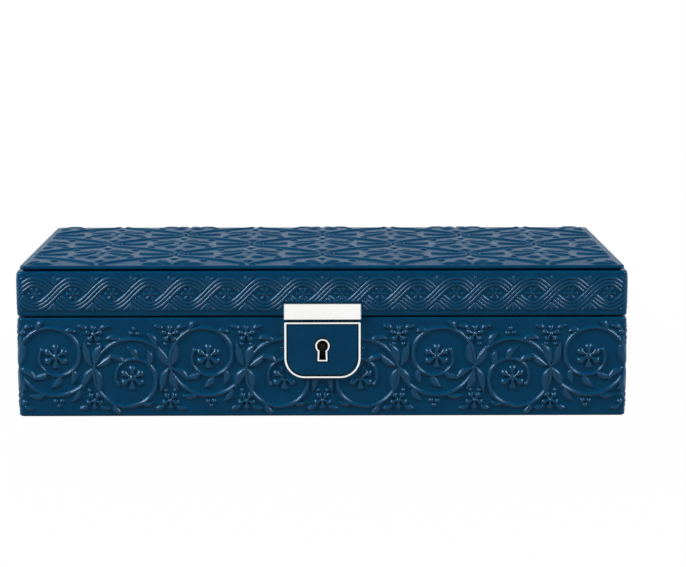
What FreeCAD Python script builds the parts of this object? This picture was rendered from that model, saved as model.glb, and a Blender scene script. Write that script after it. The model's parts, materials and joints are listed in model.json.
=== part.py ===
import FreeCAD, Part
import math
import os
import re

import Sketcher

# A leather-covered jewellery case: board carcasses wrapped in leather, a hinged lid with a padded
# top panel, a lined and divided inside, two butt hinges and a small box lock with a hasp.
# Millimetres. +X is to the right, -Y to the front and +Z up.
# The origin is on the table, under the middle of the case.

# Driving dimensions, with what each one measures
SIZES = {
    "case_width": (300.0, "outside width over the leather"),
    "case_depth": (150.0, "outside depth over the leather"),
    "base_height": (49.8, "table to the rim of the base"),
    "rim_gap": (0.6, "gap between the closed rims"),
    "lid_height": (22.2, "height of the lid's sides"),
    "corner_radius": (3.0, "upright corners of the leather"),
    "edge_break": (0.95, "broken edges along the leather's rims"),
    "leather": (1.0, "thickness of the side leather"),
    "turn_in": (15.0, "how far from the sides the turned-in leather ends"),
    "wall_board": (9.0, "side boards of the base"),
    "floor_board": (5.0, "floor board of the base"),
    "lid_board": (7.5, "side boards of the lid"),
    "lid_top": (5.0, "top board of the lid"),
    "felt": (0.8, "felt under the base"),
    "felt_inset": (5.0, "felt edge from the case's sides"),
    "felt_clip": (4.0, "clipped corners of the felt"),
    "riser_inset": (3.3, "edge of the card under the panel from the lid's sides"),
    "riser": (0.7, "groove between the lid and the panel"),
    "panel_inset": (1.9, "top panel edge from the lid's sides"),
    "panel_height": (2.0, "height of the padded top panel"),
    "panel_skin": (0.4, "thickness of the panel's leather"),
    "panel_edge": (1.0, "folded leather along the panel's edges"),
    "panel_card": (0.6, "card inside the panel"),
    "panel_corner": (2.4, "upright corners of the panel"),
    "panel_round": (1.3, "rounding along the panel's top edge"),
    "panel_foot": (0.5, "broken lower edge of the panel"),
    "wall_lining": (2.0, "suede-covered card on the base's walls"),
    "floor_lining": (1.5, "suede-covered card on the base's floor"),
    "lid_lining": (0.8, "suede strip round the lid's inside"),
    "lid_ceiling": (2.0, "suede-covered card under the lid's top"),
    "lining_round": (0.9, "rounding of the linings' top edges"),
    "neck": (4.0, "how far the wall linings stand above the rim"),
    "mirror_width": (230.0, "mirror in the lid, side to side"),
    "mirror_depth": (92.0, "mirror in the lid, front to back"),
    "mirror_glass": (1.8, "thickness of the mirror"),
    "mirror_bevel": (1.0, "bevel round the mirror"),
    "mirror_gap": (0.3, "gap round the mirror in its window"),
    "divider": (4.0, "thickness of the dividers"),
    "divider_top": (45.2, "table to the top of the dividers"),
    "divider_round": (1.8, "rounding of the dividers' top edges"),
    "ring_width": (88.0, "width of the ring section"),
    "ring_bed": (14.0, "height of the foam bed under the ring rolls"),
    "front_share": (60.0, "depth of the long front compartment"),
    "roll_radius": (7.6, "half round on top of a ring roll"),
    "roll_side": (6.7, "upright sides of a ring roll"),
    "seat_gap": (0.2, "play round the bed and the rolls"),
    "hinge_spread": (190.0, "between the middles of the two hinges"),
    "hinge_setback": (2.25, "pin line from the rear face"),
    "leaf_length": (32.0, "hinge leaf along the pin"),
    "leaf_width": (6.2, "hinge leaf from its edge to the pin line"),
    "barrel_radius": (2.25, "outside of the hinge knuckles"),
    "pin_radius": (1.0, "hinge pin"),
    "pin_fit": (0.05, "radial play of the lid's knuckles on the pin"),
    "knuckle_gap": (0.2, "gap between two knuckles"),
    "knuckle_room": (0.25, "room that a leaf leaves round the other's knuckles"),
    "mortise_room": (0.35, "room that the case leaves round the knuckles"),
    "leaf_room": (0.2, "room at the ends of a leaf"),
    "bevel_angle": (50.5, "slope of the rear rims, which stop the lid"),
    "screw_head": (1.5, "hinge screw head radius"),
    "screw_shank": (0.75, "hinge screw shank radius"),
    "screw_length": (7.0, "length of a hinge screw"),
    "screw_pitch": (21.3, "between the two screws of a leaf"),
    "screw_back": (4.2, "screw line from the pin line"),
    "plate_width": (38.0, "lock plate and hasp bar, side to side"),
    "plate_bottom": (19.7, "table to the foot of the lock plate"),
    "plate_top": (48.2, "table to the top of the lock plate"),
    "plate_thick": (2.2, "how far the lock plate stands out"),
    "plate_round": (10.0, "lower corners of the lock plate"),
    "plate_nip": (0.6, "upper corners of the lock plate"),
    "plate_soft": (0.35, "softened front edges of the metal"),
    "plate_rim": (1.4, "polished rim round the inlay"),
    "field_depth": (0.6, "depth of the inlay's recess"),
    "inlay": (0.45, "thickness of the leather inlay"),
    "inlay_gap": (0.1, "gap round the inlay"),
    "key_height": (36.0, "table to the middle of the keyhole"),
    "key_radius": (2.55, "round part of the keyhole"),
    "key_foot": (29.2, "table to the foot of the keyhole"),
    "key_neck": (1.35, "half width where the slot leaves the round"),
    "key_flare": (1.55, "half width at the keyhole's foot"),
    "key_wall": (1.25, "polished rim round the keyhole"),
    "prong_thick": (0.7, "flat prongs of the plate and the bar, side to side"),
    "prong_height": (2.4, "flat prongs, top to bottom"),
    "prong_length": (3.8, "flat prongs into the boards"),
    "plate_prong_side": (17.2, "upper plate prongs from the middle"),
    "plate_prong_top": (43.2, "table to the middle of the upper plate prongs"),
    "plate_prong_low": (23.7, "table to the middle of the lower plate prongs"),
    "plate_prong_in": (9.0, "lower plate prongs from the middle"),
    "box_width": (31.0, "lock case, side to side"),
    "box_bottom": (28.2, "table to the foot of the lock case"),
    "box_depth": (6.4, "lock case, front to back"),
    "box_wall": (0.8, "sheet of the lock case"),
    "selvedge_length": (36.0, "lock case's top flange, side to side"),
    "selvedge_width": (7.6, "lock case's top flange, front to back"),
    "window_half": (4.5, "half width of the keyhole's hole in the leather"),
    "window_room": (1.0, "hole in the leather past the keyhole's foot and head"),
    "drill_radius": (0.9, "pin that the key's hollow stem turns on"),
    "drill_proud": (0.6, "how far the pin passes the leather's face"),
    "bolt_thick": (1.6, "thickness of the bolt"),
    "bolt_setin": (3.25, "bolt's front from the leather's face"),
    "bolt_left": (14.2, "bolt's left end from the middle"),
    "bolt_right": (9.2, "bolt's right end from the middle"),
    "bolt_bottom": (39.2, "table to the bolt's lower edge"),
    "bolt_bar": (4.0, "height of the bolt's bar"),
    "bolt_throat": (2.0, "height of the throat between bar and tongue"),
    "bolt_tongue": (2.0, "height of the bolt's tongue"),
    "tongue_root": (7.0, "root of the tongue from the middle"),
    "tongue_tip": (1.6, "tip of the tongue from the middle"),
    "talon_half": (2.6, "half width of the notch that the key turns in"),
    "talon_depth": (2.6, "depth of that notch"),
    "guide_half": (0.9, "half width of the blocks that the bolt slides on"),
    "guide_side": (8.3, "blocks from the middle"),
    "guide_play": (0.1, "play between blocks and bolt"),
    "guide_length": (3.8, "blocks from the lock case's back"),
    "spring_leaf": (0.3, "thickness of the friction spring"),
    "spring_length": (8.4, "length of the friction spring"),
    "spring_width": (1.4, "width of the friction spring"),
    "spring_play": (0.05, "play above and below the spring"),
    "staple_half": (9.0, "half length of the staple's plate"),
    "staple_width": (6.6, "staple's plate, front to back"),
    "leg_half": (1.0, "half width of the staple's leg"),
    "leg_setin": (2.0, "leg's front from the leather's face"),
    "leg_depth": (4.1, "leg, front to back"),
    "leg_length": (6.7, "leg below the lid's rim"),
    "eye_setin": (1.0, "eye from the leg's front and back"),
    "eye_bottom": (44.9, "table to the foot of the eye"),
    "eye_top": (47.7, "table to the head of the eye"),
    "slot_room": (0.4, "room round the leg in the flange"),
    "bar_bottom": (49.1, "table to the foot of the hasp bar"),
    "bar_top": (57.2, "table to the top of the hasp bar"),
    "bar_thick": (2.6, "how far the hasp bar stands out"),
    "bar_relief": (0.4, "relief behind the bar's foot"),
    "bar_step": (0.2, "top of that relief above the lid's rim"),
    "bar_prong_side": (12.0, "bar prongs from the middle"),
    "bar_prong_height": (54.2, "table to the middle of the bar prongs"),
}

ROLL_COUNT = 8
KNUCKLE_COUNT = 3
SMALL_COMPARTMENTS = 3

# Lengths worked out from the driving dimensions
WORKED_OUT = {
    "half_width": "case_width / 2",
    "half_depth": "case_depth / 2",
    "lid_rim": "base_height + rim_gap",
    "lid_head": "lid_rim + lid_height",
    "riser_head": "lid_head + riser",
    "panel_head": "riser_head + panel_height",
    "board_x": "half_width - leather",
    "board_y": "half_depth - leather",
    "inner_x": "board_x - wall_board",
    "inner_y": "board_y - wall_board",
    "lid_inner_x": "board_x - lid_board",
    "lid_inner_y": "board_y - lid_board",
    "turn_x": "half_width - turn_in",
    "turn_y": "half_depth - turn_in",
    "board_foot": "felt + leather",
    "board_head": "base_height - leather",
    "lid_board_foot": "lid_rim + leather",
    "lid_board_head": "lid_head - leather",
    "lid_roof": "lid_board_head - lid_top",
    "lid_vault": "lid_roof - lid_ceiling",
    "floor_top": "board_foot + floor_board",
    "tray_floor": "floor_top + floor_lining",
    "neck_top": "base_height + neck",
    "tray_x": "inner_x - wall_lining",
    "tray_y": "inner_y - wall_lining",
    "ring_right": "-tray_x + ring_width",
    "rooms_left": "ring_right + divider",
    "long_front": "-tray_y + front_share",
    "long_back": "long_front + divider",
    "bed_top": "tray_floor + ring_bed",
    "pin_y": "half_depth - hinge_setback",
    "pin_z": "base_height + rim_gap / 2",
    "bevel_slope": "tan(bevel_angle * 1 deg)",
    "bevel_step": "leather * tan(bevel_angle * 0.5 deg)",
    "panel_x": "half_width - panel_inset",
    "panel_y": "half_depth - panel_inset",
    "box_back": "-(board_y - box_depth)",
    "box_inside": "box_back - box_wall",
    "bolt_back": "-(half_depth - bolt_setin - bolt_thick)",
    "bar_upper": "bolt_bottom + bolt_bar",
    "tongue_foot": "bar_upper + bolt_throat",
    "tongue_head": "tongue_foot + bolt_tongue",
    "box_ceiling": "board_head - box_wall",
    "spring_foot": "tongue_head + spring_play",
    "spring_head": "box_ceiling - spring_play",
    "spring_bow": "spring_head - spring_foot - spring_leaf",
    "leg_front": "-(half_depth - leg_setin)",
    "leg_back": "leg_front + leg_depth",
}

# How far a cutter reaches past what it cuts
PAST = 5.0

TURNS = {
    "+X": FreeCAD.Rotation(FreeCAD.Vector(0, 1, 0), 90),
    "-Y": FreeCAD.Rotation(FreeCAD.Vector(1, 0, 0), 90),
    "+Z": FreeCAD.Rotation(),
    "-Z": FreeCAD.Rotation(FreeCAD.Vector(1, 0, 0), 180),
}

doc = FreeCAD.newDocument("jewellery_case")
sheet = doc.addObject("Spreadsheet::Sheet", "Sizes")
for row, (alias, (number, note)) in enumerate(SIZES.items(), start=1):
    sheet.set(f"A{row}", note)
    sheet.set(f"B{row}", str(number))
    sheet.setAlias(f"B{row}", alias)
doc.recompute()

nodes = []


def formula(text):
    """Spell out a length in the sheet's cells."""
    def spell(match):
        word = match.group(0)
        if word in WORKED_OUT:
            return "(" + formula(WORKED_OUT[word]) + ")"
        return "Sizes." + word if word in SIZES else word
    return re.sub(r"[a-z][a-z_]*", spell, str(text))


def value(text):
    """The number that a length comes to."""
    return float(sheet.evalExpression(formula(text)))


def bind(thing, **lengths):
    """Tie properties to the sheet; two underscores stand for a dot."""
    for name, text in lengths.items():
        thing.setExpression(name.replace("__", "."), formula(text))


def place(thing, x, y, z):
    bind(thing, Placement__Base__x=x, Placement__Base__y=y, Placement__Base__z=z)


def keep(thing):
    """Keep a finished sub-part, whose label names its file."""
    thing.Label = thing.Name
    nodes.append(thing)
    return thing


# Primitives and booleans

def both(half):
    """A pair of lengths on either side of the middle."""
    return (f"-({half})", half)


def block(name, x, y, z):
    """A box between pairs of lengths on the three axes."""
    box = doc.addObject("Part::Box", name)
    place(box, x[0], y[0], z[0])
    bind(
        box,
        Length=f"({x[1]}) - ({x[0]})",
        Width=f"({y[1]}) - ({y[0]})",
        Height=f"({z[1]}) - ({z[0]})",
    )
    return box


def rod(name, axis, radius, length, x, y, z):
    """A cylinder that starts at a point and runs along one of TURNS."""
    cylinder = doc.addObject("Part::Cylinder", name)
    cylinder.Placement.Rotation = TURNS[axis]
    place(cylinder, x, y, z)
    bind(cylinder, Radius=radius, Height=length)
    return cylinder


def joined(name, things):
    fuse = doc.addObject("Part::MultiFuse", name)
    fuse.Shapes = things
    return fuse


def cut(name, base, tools):
    result = doc.addObject("Part::Cut", name)
    result.Base = base
    result.Tool = tools[0] if len(tools) == 1 else joined(name + "_cutters", tools)
    return result


def shared(name, base, tool):
    result = doc.addObject("Part::Common", name)
    result.Base = base
    result.Tool = tool
    return result


def group(name, things):
    """Separate equal solids in one node."""
    compound = doc.addObject("Part::Compound", name)
    compound.Links = things
    return compound


# Bodies made from sketches

def new_body(name):
    return doc.addObject("PartDesign::Body", name)


def sketch_on(body, plane, offset):
    """A sketch on one of the body's own planes, shifted along the plane's normal.

    The normals are +Z on XY, -Y on XZ and +X on YZ.
    """
    sketch = body.newObject("Sketcher::SketchObject", body.Name + "_sketch")
    support = [item for item in body.Origin.OriginFeatures if item.Role == plane + "_Plane"]
    sketch.AttachmentSupport = (support[0], [""])
    sketch.MapMode = "FlatFace"
    bind(sketch, AttachmentOffset__Base__z=offset)
    return sketch


def fix(sketch, kind, index, where, length):
    """Set one coordinate or a radius of a sketch's geometry from the sheet."""
    if kind == "Radius":
        made = sketch.addConstraint(Sketcher.Constraint(kind, index, value(length)))
    else:
        made = sketch.addConstraint(Sketcher.Constraint(kind, -1, 1, index, where, value(length)))
    name = f"{kind}_{index}_{where}"
    sketch.renameConstraint(made, name)
    sketch.setExpression("Constraints." + name, formula(length))


def close_loop(sketch, pieces):
    """Join each piece's end to the next one's start."""
    for piece, following in zip(pieces, pieces[1:] + pieces[:1]):
        sketch.addConstraint(Sketcher.Constraint("Coincident", piece, 2, following, 1))


def draw_outline(sketch, corners):
    """A closed outline of straight lines through corners given as lengths."""
    points = [FreeCAD.Vector(value(x), value(y), 0) for x, y in corners]
    lines = []
    for start, end in zip(points, points[1:] + points[:1]):
        lines.append(sketch.addGeometry(Part.LineSegment(start, end), False))
    close_loop(sketch, lines)
    for line, (x, y) in zip(lines, corners):
        fix(sketch, "DistanceX", line, 1, x)
        fix(sketch, "DistanceY", line, 1, y)


def draw_rectangle(sketch, x, y):
    draw_outline(sketch, [(x[0], y[0]), (x[1], y[0]), (x[1], y[1]), (x[0], y[1])])


def draw_keyhole(sketch, grow):
    """The keyhole's outline, grown all round: a round head on a flaring slot."""
    radius = f"key_radius + {grow}"
    neck = f"key_neck + {grow}"
    flare = f"key_flare + {grow}"
    foot = f"key_foot - ({grow})"
    centre = FreeCAD.Vector(0, value("key_height"), 0)
    lean = math.asin(value(neck) / value(radius))
    neck_right = centre + FreeCAD.Vector(value(neck), -value(radius) * math.cos(lean), 0)
    neck_left = centre + FreeCAD.Vector(-value(neck), -value(radius) * math.cos(lean), 0)
    foot_right = FreeCAD.Vector(value(flare), value(foot), 0)
    foot_left = FreeCAD.Vector(-value(flare), value(foot), 0)
    circle = Part.Circle(centre, FreeCAD.Vector(0, 0, 1), value(radius))
    arc = Part.ArcOfCircle(circle, lean - math.pi / 2, 3 * math.pi / 2 - lean)
    head = sketch.addGeometry(arc, False)
    left = sketch.addGeometry(Part.LineSegment(neck_left, foot_left), False)
    bottom = sketch.addGeometry(Part.LineSegment(foot_left, foot_right), False)
    right = sketch.addGeometry(Part.LineSegment(foot_right, neck_right), False)
    close_loop(sketch, [head, left, bottom, right])
    fix(sketch, "DistanceX", head, 3, "0")
    fix(sketch, "DistanceY", head, 3, "key_height")
    fix(sketch, "Radius", head, 0, radius)
    fix(sketch, "DistanceX", head, 1, neck)
    fix(sketch, "DistanceX", head, 2, f"-({neck})")
    for line, side in ((bottom, f"-({flare})"), (right, flare)):
        fix(sketch, "DistanceX", line, 1, side)
        fix(sketch, "DistanceY", line, 1, foot)


def draw_shield(sketch, inset):
    """The lock plate's outline, drawn in all round: square above, with two round lower corners."""
    half = f"plate_width / 2 - ({inset})"
    bottom = f"plate_bottom + {inset}"
    top = f"plate_top - ({inset})"
    radius = f"plate_round - ({inset})"
    round_x = f"{half} - ({radius})"
    round_y = f"{bottom} + {radius}"
    side, low, high, turn_x, turn_y = (value(text) for text in (half, bottom, top, round_x, round_y))
    corners = [(-turn_x, low), (turn_x, low), (side, turn_y), (side, high), (-side, high), (-side, turn_y)]
    points = [FreeCAD.Vector(x, y, 0) for x, y in corners]
    up = FreeCAD.Vector(0, 0, 1)
    circles = [Part.Circle(FreeCAD.Vector(x, turn_y, 0), up, value(radius)) for x in (turn_x, -turn_x)]
    foot = sketch.addGeometry(Part.LineSegment(points[0], points[1]), False)
    right_round = sketch.addGeometry(Part.ArcOfCircle(circles[0], -math.pi / 2, 0), False)
    right = sketch.addGeometry(Part.LineSegment(points[2], points[3]), False)
    head = sketch.addGeometry(Part.LineSegment(points[3], points[4]), False)
    left = sketch.addGeometry(Part.LineSegment(points[4], points[5]), False)
    left_round = sketch.addGeometry(Part.ArcOfCircle(circles[1], math.pi, 3 * math.pi / 2), False)
    close_loop(sketch, [foot, right_round, right, head, left, left_round])
    for arc, centre_x, lower_end, upper_end in (
        (right_round, round_x, 1, 2),
        (left_round, f"-({round_x})", 2, 1),
    ):
        fix(sketch, "DistanceX", arc, 3, centre_x)
        fix(sketch, "DistanceY", arc, 3, round_y)
        fix(sketch, "Radius", arc, 0, radius)
        fix(sketch, "DistanceX", arc, lower_end, centre_x)
        fix(sketch, "DistanceY", arc, upper_end, round_y)
    for line, x in ((head, half), (left, f"-({half})")):
        fix(sketch, "DistanceX", line, 1, x)
        fix(sketch, "DistanceY", line, 1, top)


def draw_roll(sketch):
    """A ring roll's section: upright sides on a flat foot, with a half round on top."""
    radius = value("roll_radius")
    side = value("roll_side")
    top = FreeCAD.Vector(0, side, 0)
    section = ((-radius, side), (-radius, 0), (radius, 0), (radius, side))
    corners = [FreeCAD.Vector(x, y, 0) for x, y in section]
    circle = Part.Circle(top, FreeCAD.Vector(0, 0, 1), radius)
    crown = sketch.addGeometry(Part.ArcOfCircle(circle, 0, math.pi), False)
    left = sketch.addGeometry(Part.LineSegment(corners[0], corners[1]), False)
    foot = sketch.addGeometry(Part.LineSegment(corners[1], corners[2]), False)
    right = sketch.addGeometry(Part.LineSegment(corners[2], corners[3]), False)
    close_loop(sketch, [crown, left, foot, right])
    fix(sketch, "DistanceX", crown, 3, "0")
    fix(sketch, "Radius", crown, 0, "roll_radius")
    for point in (1, 2, 3):
        fix(sketch, "DistanceY", crown, point, "roll_side")
    for line, x in ((foot, "-roll_radius"), (right, "roll_radius")):
        fix(sketch, "DistanceX", line, 1, x)
        fix(sketch, "DistanceY", line, 1, "0")


def pad(body, sketch, length, side="One side", backwards=False):
    feature = body.newObject("PartDesign::Pad", body.Name + "_pad")
    feature.Profile = sketch
    feature.SideType = side
    feature.Reversed = backwards
    bind(feature, Length=length)
    doc.recompute()


def pocket(body, sketch, length=None):
    """Cut against the sketch's normal to a depth, or right through both ways."""
    before = body.Shape.Volume
    feature = body.newObject("PartDesign::Pocket", body.Name + "_pocket")
    feature.Profile = sketch
    if length is None:
        feature.SideType = "Symmetric"
        feature.Type = "ThroughAll"
    else:
        bind(feature, Length=length)
    doc.recompute()
    if body.Shape.Volume >= before:
        raise RuntimeError(f"a pocket of {body.Name} cuts nothing")


def soften(body, radius, chosen, kind="Fillet"):
    """Round or bevel the edges that a test picks."""
    base = body.Tip
    names = [f"Edge{n}" for n, edge in enumerate(base.Shape.Edges, start=1) if chosen(edge)]
    feature = body.newObject("PartDesign::" + kind, body.Name + "_edge")
    feature.Base = (base, names)
    bind(feature, **{"Radius" if kind == "Fillet" else "Size": radius})
    doc.recompute()


def along(axis):
    """A test for straight edges that run along one axis, numbered from 0."""
    def chosen(edge):
        if edge.Curve.TypeId != "Part::GeomLine":
            return False
        step = edge.Vertexes[-1].Point - edge.Vertexes[0].Point
        return abs(abs(step[axis]) - step.Length) < 1e-6
    return chosen


def lying_at(axis, level):
    """A test for edges that lie wholly at one level of an axis."""
    height = value(level)

    def chosen(edge):
        return all(abs(point[axis] - height) < 1e-4 for point in edge.discretize(5))
    return chosen


def all_of(*tests):
    return lambda edge: all(test(edge) for test in tests)


def slab(name, x, y, bottom, top, corner, kind="Fillet", foot_break=None, head_break=None, head_round=None):
    """A flat block about the middle with round or clipped corners and, if asked for, soft edges."""
    body = new_body(name)
    sketch = sketch_on(body, "XY", bottom)
    draw_rectangle(sketch, both(x), both(y))
    pad(body, sketch, f"({top}) - ({bottom})")
    soften(body, corner, along(2), kind)
    if head_round:
        soften(body, head_round, lying_at(2, top))
    if head_break:
        soften(body, head_break, lying_at(2, top), kind="Chamfer")
    if foot_break:
        soften(body, foot_break, lying_at(2, bottom), kind="Chamfer")
    return body


def wall(name, x, y, bottom, top, axis, head_round):
    """An upright card whose two long top edges are rounded; axis is the way it runs."""
    body = new_body(name)
    sketch = sketch_on(body, "XY", bottom)
    draw_rectangle(sketch, x, y)
    pad(body, sketch, f"({top}) - ({bottom})")
    soften(body, head_round, all_of(along(axis), lying_at(2, top)))
    return body


def bevel_rear(body, start_y, rim, up):
    """Slope the rear of a rim away from the pin line; up is 1 on the lid and -1 on the base."""
    sketch = sketch_on(body, "YZ", "0")
    far = f"{start_y} + {PAST}"
    draw_outline(sketch, [
        (start_y, rim),
        (far, f"{rim} + ({up}) * {PAST} * bevel_slope"),
        (far, f"{rim} - ({up}) * {PAST}"),
        (start_y, f"{rim} - ({up}) * {PAST}"),
    ])
    pocket(body, sketch)


# Hinges: two leaves with interleaved knuckles, a pin and countersunk screws

def screw(name, up, x, y, z):
    """A screw whose countersunk head is as deep as a leaf; up is 1 on the lid and -1 on the base."""
    axis = "+Z" if up > 0 else "-Z"
    cone = doc.addObject("Part::Cone", name + "_head")
    cone.Placement.Rotation = TURNS[axis]
    place(cone, x, y, z)
    bind(cone, Radius1="screw_head", Radius2="screw_shank", Height="leather")
    stem = rod(name + "_shank", axis, "screw_shank", "screw_length - leather",
               x, y, f"{z} + ({up}) * leather")
    return {"head": cone, "whole": joined(name, [cone, stem])}


def knuckle_rods(name, middle, owned, radius, room):
    """Rods along the pin line at the knuckles of one leaf, longer by room at both ends."""
    pitch = f"leaf_length / {KNUCKLE_COUNT}"
    rods = []
    for index in range(owned, KNUCKLE_COUNT, 2):
        start = f"({middle}) - leaf_length / 2 + {index} * {pitch} + knuckle_gap / 2 - ({room})"
        length = f"{pitch} - knuckle_gap + 2 * ({room})"
        rods.append(rod(f"{name}_{index}", "+X", radius, length, start, "pin_y", "pin_z"))
    return rods


def hinge_leaf(name, middle, owned, levels, bore, screws):
    """A plate with its own knuckles, notched round the other leaf's, bored and countersunk."""
    ends = (f"({middle}) - leaf_length / 2", f"({middle}) + leaf_length / 2")
    plate = block(name + "_plate", ends, ("pin_y - leaf_width", "pin_y"), levels)
    room = "barrel_radius + knuckle_room"
    others = knuckle_rods(name + "_room", middle, 1 - owned, room, "knuckle_gap")
    notched = cut(name + "_notched", plate, others)
    own = knuckle_rods(name + "_knuckle", middle, owned, "barrel_radius", "0")
    hole = rod(name + "_bore", "+X", bore, "leaf_length", ends[0], "pin_y", "pin_z")
    sinks = [one["head"] for one in screws]
    keep(cut(name, joined(name + "_blank", [notched] + own), [hole] + sinks))


def leaf_screws(name, middle, level, up):
    """Two screws along a leaf."""
    return [
        screw(f"{name}_screw_{n}", up,
              f"({middle}) + ({side}) * screw_pitch / 2", "pin_y - screw_back", level)
        for n, side in enumerate((-1, 1))
    ]


def hinge(name, middle):
    """One butt hinge, and the room that it takes up in the case."""
    base_screws = leaf_screws(name + "_base", middle, "base_height", -1)
    lid_screws = leaf_screws(name + "_lid", middle, "lid_rim", 1)
    base_levels = ("board_head", "base_height")
    lid_levels = ("lid_rim", "lid_board_foot")
    hinge_leaf(name + "_base_leaf", middle, 0, base_levels, "pin_radius", base_screws)
    hinge_leaf(name + "_lid_leaf", middle, 1, lid_levels, "pin_radius + pin_fit", lid_screws)
    start = f"({middle}) - leaf_length / 2"
    keep(rod(name + "_pin", "+X", "pin_radius", "leaf_length", start, "pin_y", "pin_z"))
    ends = (f"{start} - leaf_room", f"({middle}) + leaf_length / 2 + leaf_room")
    leaf_y = ("pin_y - leaf_width - leaf_room", "pin_y")
    return {
        "barrel": rod(name + "_barrel_room", "+X", "barrel_radius + mortise_room",
                      "leaf_length + 2 * leaf_room", ends[0], "pin_y", "pin_z"),
        "base_seat": block(name + "_base_seat", ends, leaf_y, ("board_head", f"base_height + {PAST}")),
        "lid_seat": block(name + "_lid_seat", ends, leaf_y, (f"lid_rim - {PAST}", "lid_board_foot")),
        "base_screws": base_screws,
        "lid_screws": lid_screws,
    }


hinges = [hinge("hinge_left", "-hinge_spread / 2"), hinge("hinge_right", "hinge_spread / 2")]
barrels = [item["barrel"] for item in hinges]
for owner in ("base", "lid"):
    screws = [one["whole"] for item in hinges for one in item[owner + "_screws"]]
    keep(group(owner + "_hinge_screws", screws))


# Lock: a box let into the front board, with its plate, bolt, guides, spring and drill pin

def prongs(name, spots):
    """Flat prongs from the leather's face into the board, at (side, height) spots."""
    return [
        block(f"{name}_{n}", (f"{side} - prong_thick / 2", f"{side} + prong_thick / 2"),
              ("-half_depth", "-half_depth + prong_length"),
              (f"{height} - prong_height / 2", f"{height} + prong_height / 2"))
        for n, (side, height) in enumerate(spots)
    ]


def lock_plate(fixings):
    """Polished shield with a sunk field and a raised rim round the keyhole."""
    body = new_body("lock_shield")
    outline = sketch_on(body, "XZ", "half_depth")
    draw_shield(outline, "0")
    pad(body, outline, "plate_thick")
    soften(body, "plate_nip", all_of(along(1), lying_at(2, "plate_top")))
    soften(body, "plate_soft", lying_at(1, "-(half_depth + plate_thick)"), kind="Chamfer")
    field = sketch_on(body, "XZ", "half_depth + plate_thick")
    draw_shield(field, "plate_rim")
    pocket(body, field, "field_depth")
    boss = sketch_on(body, "XZ", "half_depth + plate_thick - field_depth")
    draw_keyhole(boss, "key_wall")
    pad(body, boss, "field_depth")
    hole = sketch_on(body, "XZ", "half_depth")
    draw_keyhole(hole, "0")
    pocket(body, hole)
    keep(joined("lock_plate", [body] + fixings))


def lock_inlay():
    """Leather that fills the plate's field round the keyhole's rim."""
    body = new_body("lock_inlay")
    outline = sketch_on(body, "XZ", "half_depth + plate_thick - field_depth")
    draw_shield(outline, "(plate_rim + inlay_gap)")
    pad(body, outline, "inlay")
    hole = sketch_on(body, "XZ", "half_depth + plate_thick")
    draw_keyhole(hole, "(key_wall + inlay_gap)")
    pocket(body, hole)
    keep(body)


def lock_case():
    """Open-fronted sheet box under a flange that is flush with the rim."""
    body = new_body("lock_case")
    outline = sketch_on(body, "XZ", "board_y")
    draw_rectangle(outline, both("box_width / 2"), ("box_bottom", "board_head"))
    pad(body, outline, "box_depth", backwards=True)
    hollow = sketch_on(body, "XZ", "board_y")
    draw_rectangle(hollow, both("box_width / 2 - box_wall"), ("box_bottom + box_wall", "box_ceiling"))
    pocket(body, hollow, "box_depth - box_wall")
    flange = sketch_on(body, "XY", "board_head")
    draw_rectangle(flange, both("selvedge_length / 2"), ("-board_y", "-board_y + selvedge_width"))
    pad(body, flange, "leather")
    slot = sketch_on(body, "XY", "base_height")
    draw_rectangle(slot, both("leg_half + slot_room"), ("leg_front - slot_room", "leg_back + slot_room"))
    pocket(body, slot, "leather + box_wall")
    keep(body)


def lock_bolt():
    """Sliding bolt: a bar with the key's notch, and a tongue that enters the staple's eye."""
    body = new_body("lock_bolt")
    outline = sketch_on(body, "XZ", "-bolt_back")
    draw_outline(outline, [
        ("-bolt_left", "bolt_bottom"),
        ("-talon_half", "bolt_bottom"),
        ("-talon_half", "bolt_bottom + talon_depth"),
        ("talon_half", "bolt_bottom + talon_depth"),
        ("talon_half", "bolt_bottom"),
        ("bolt_right", "bolt_bottom"),
        ("bolt_right", "bar_upper"),
        ("-tongue_root", "bar_upper"),
        ("-tongue_root", "tongue_foot"),
        ("-tongue_tip", "tongue_foot"),
        ("-tongue_tip", "tongue_head"),
        ("-bolt_left", "tongue_head"),
    ])
    pad(body, outline, "bolt_thick")
    keep(body)


def lock_spring():
    """Bowed leaf between the lock case and the bolt, which holds the bolt by friction."""
    radius = "(spring_length ^ 2 / (8 * spring_bow) + spring_bow / 2)"
    middle = "-bolt_left + spring_length / 2"
    discs = [
        rod(name, "-Y", radius, f"spring_width + 2 * {PAST}",
            middle, f"bolt_back + {PAST}", f"{top} - {radius}")
        for name, top in (("spring_over", "spring_head"), ("spring_under", "(spring_head - spring_leaf)"))
    ]
    strip = block("spring_strip", ("-bolt_left", "-bolt_left + spring_length"),
                  ("bolt_back - spring_width", "bolt_back"), ("spring_foot", "spring_head"))
    keep(shared("lock_spring", strip, cut("spring_crescent", discs[0], [discs[1]])))


def lock_guides():
    """Two blocks on the lock case's back, which the bolt slides on."""
    top = "bolt_bottom - guide_play"
    blocks = [
        block(f"guide_{n}", (f"({side}) * guide_side - guide_half", f"({side}) * guide_side + guide_half"),
              ("box_inside - guide_length", "box_inside"), (f"{top} - 2 * guide_half", top))
        for n, side in enumerate((-1, 1))
    ]
    keep(group("lock_guides", blocks))


plate_prongs = prongs("plate_prong", [
    ("-plate_prong_side", "plate_prong_top"),
    ("plate_prong_side", "plate_prong_top"),
    ("-plate_prong_in", "plate_prong_low"),
    ("plate_prong_in", "plate_prong_low"),
])
lock_plate(plate_prongs)
lock_inlay()
lock_case()
lock_bolt()
lock_spring()
lock_guides()
keep(rod("lock_drill_pin", "-Y", "drill_radius", "half_depth + drill_proud + box_inside",
         "0", "box_inside", "key_height"))


# Hasp: the bar on the lid's front, and the staple that the bolt's tongue holds

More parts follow.
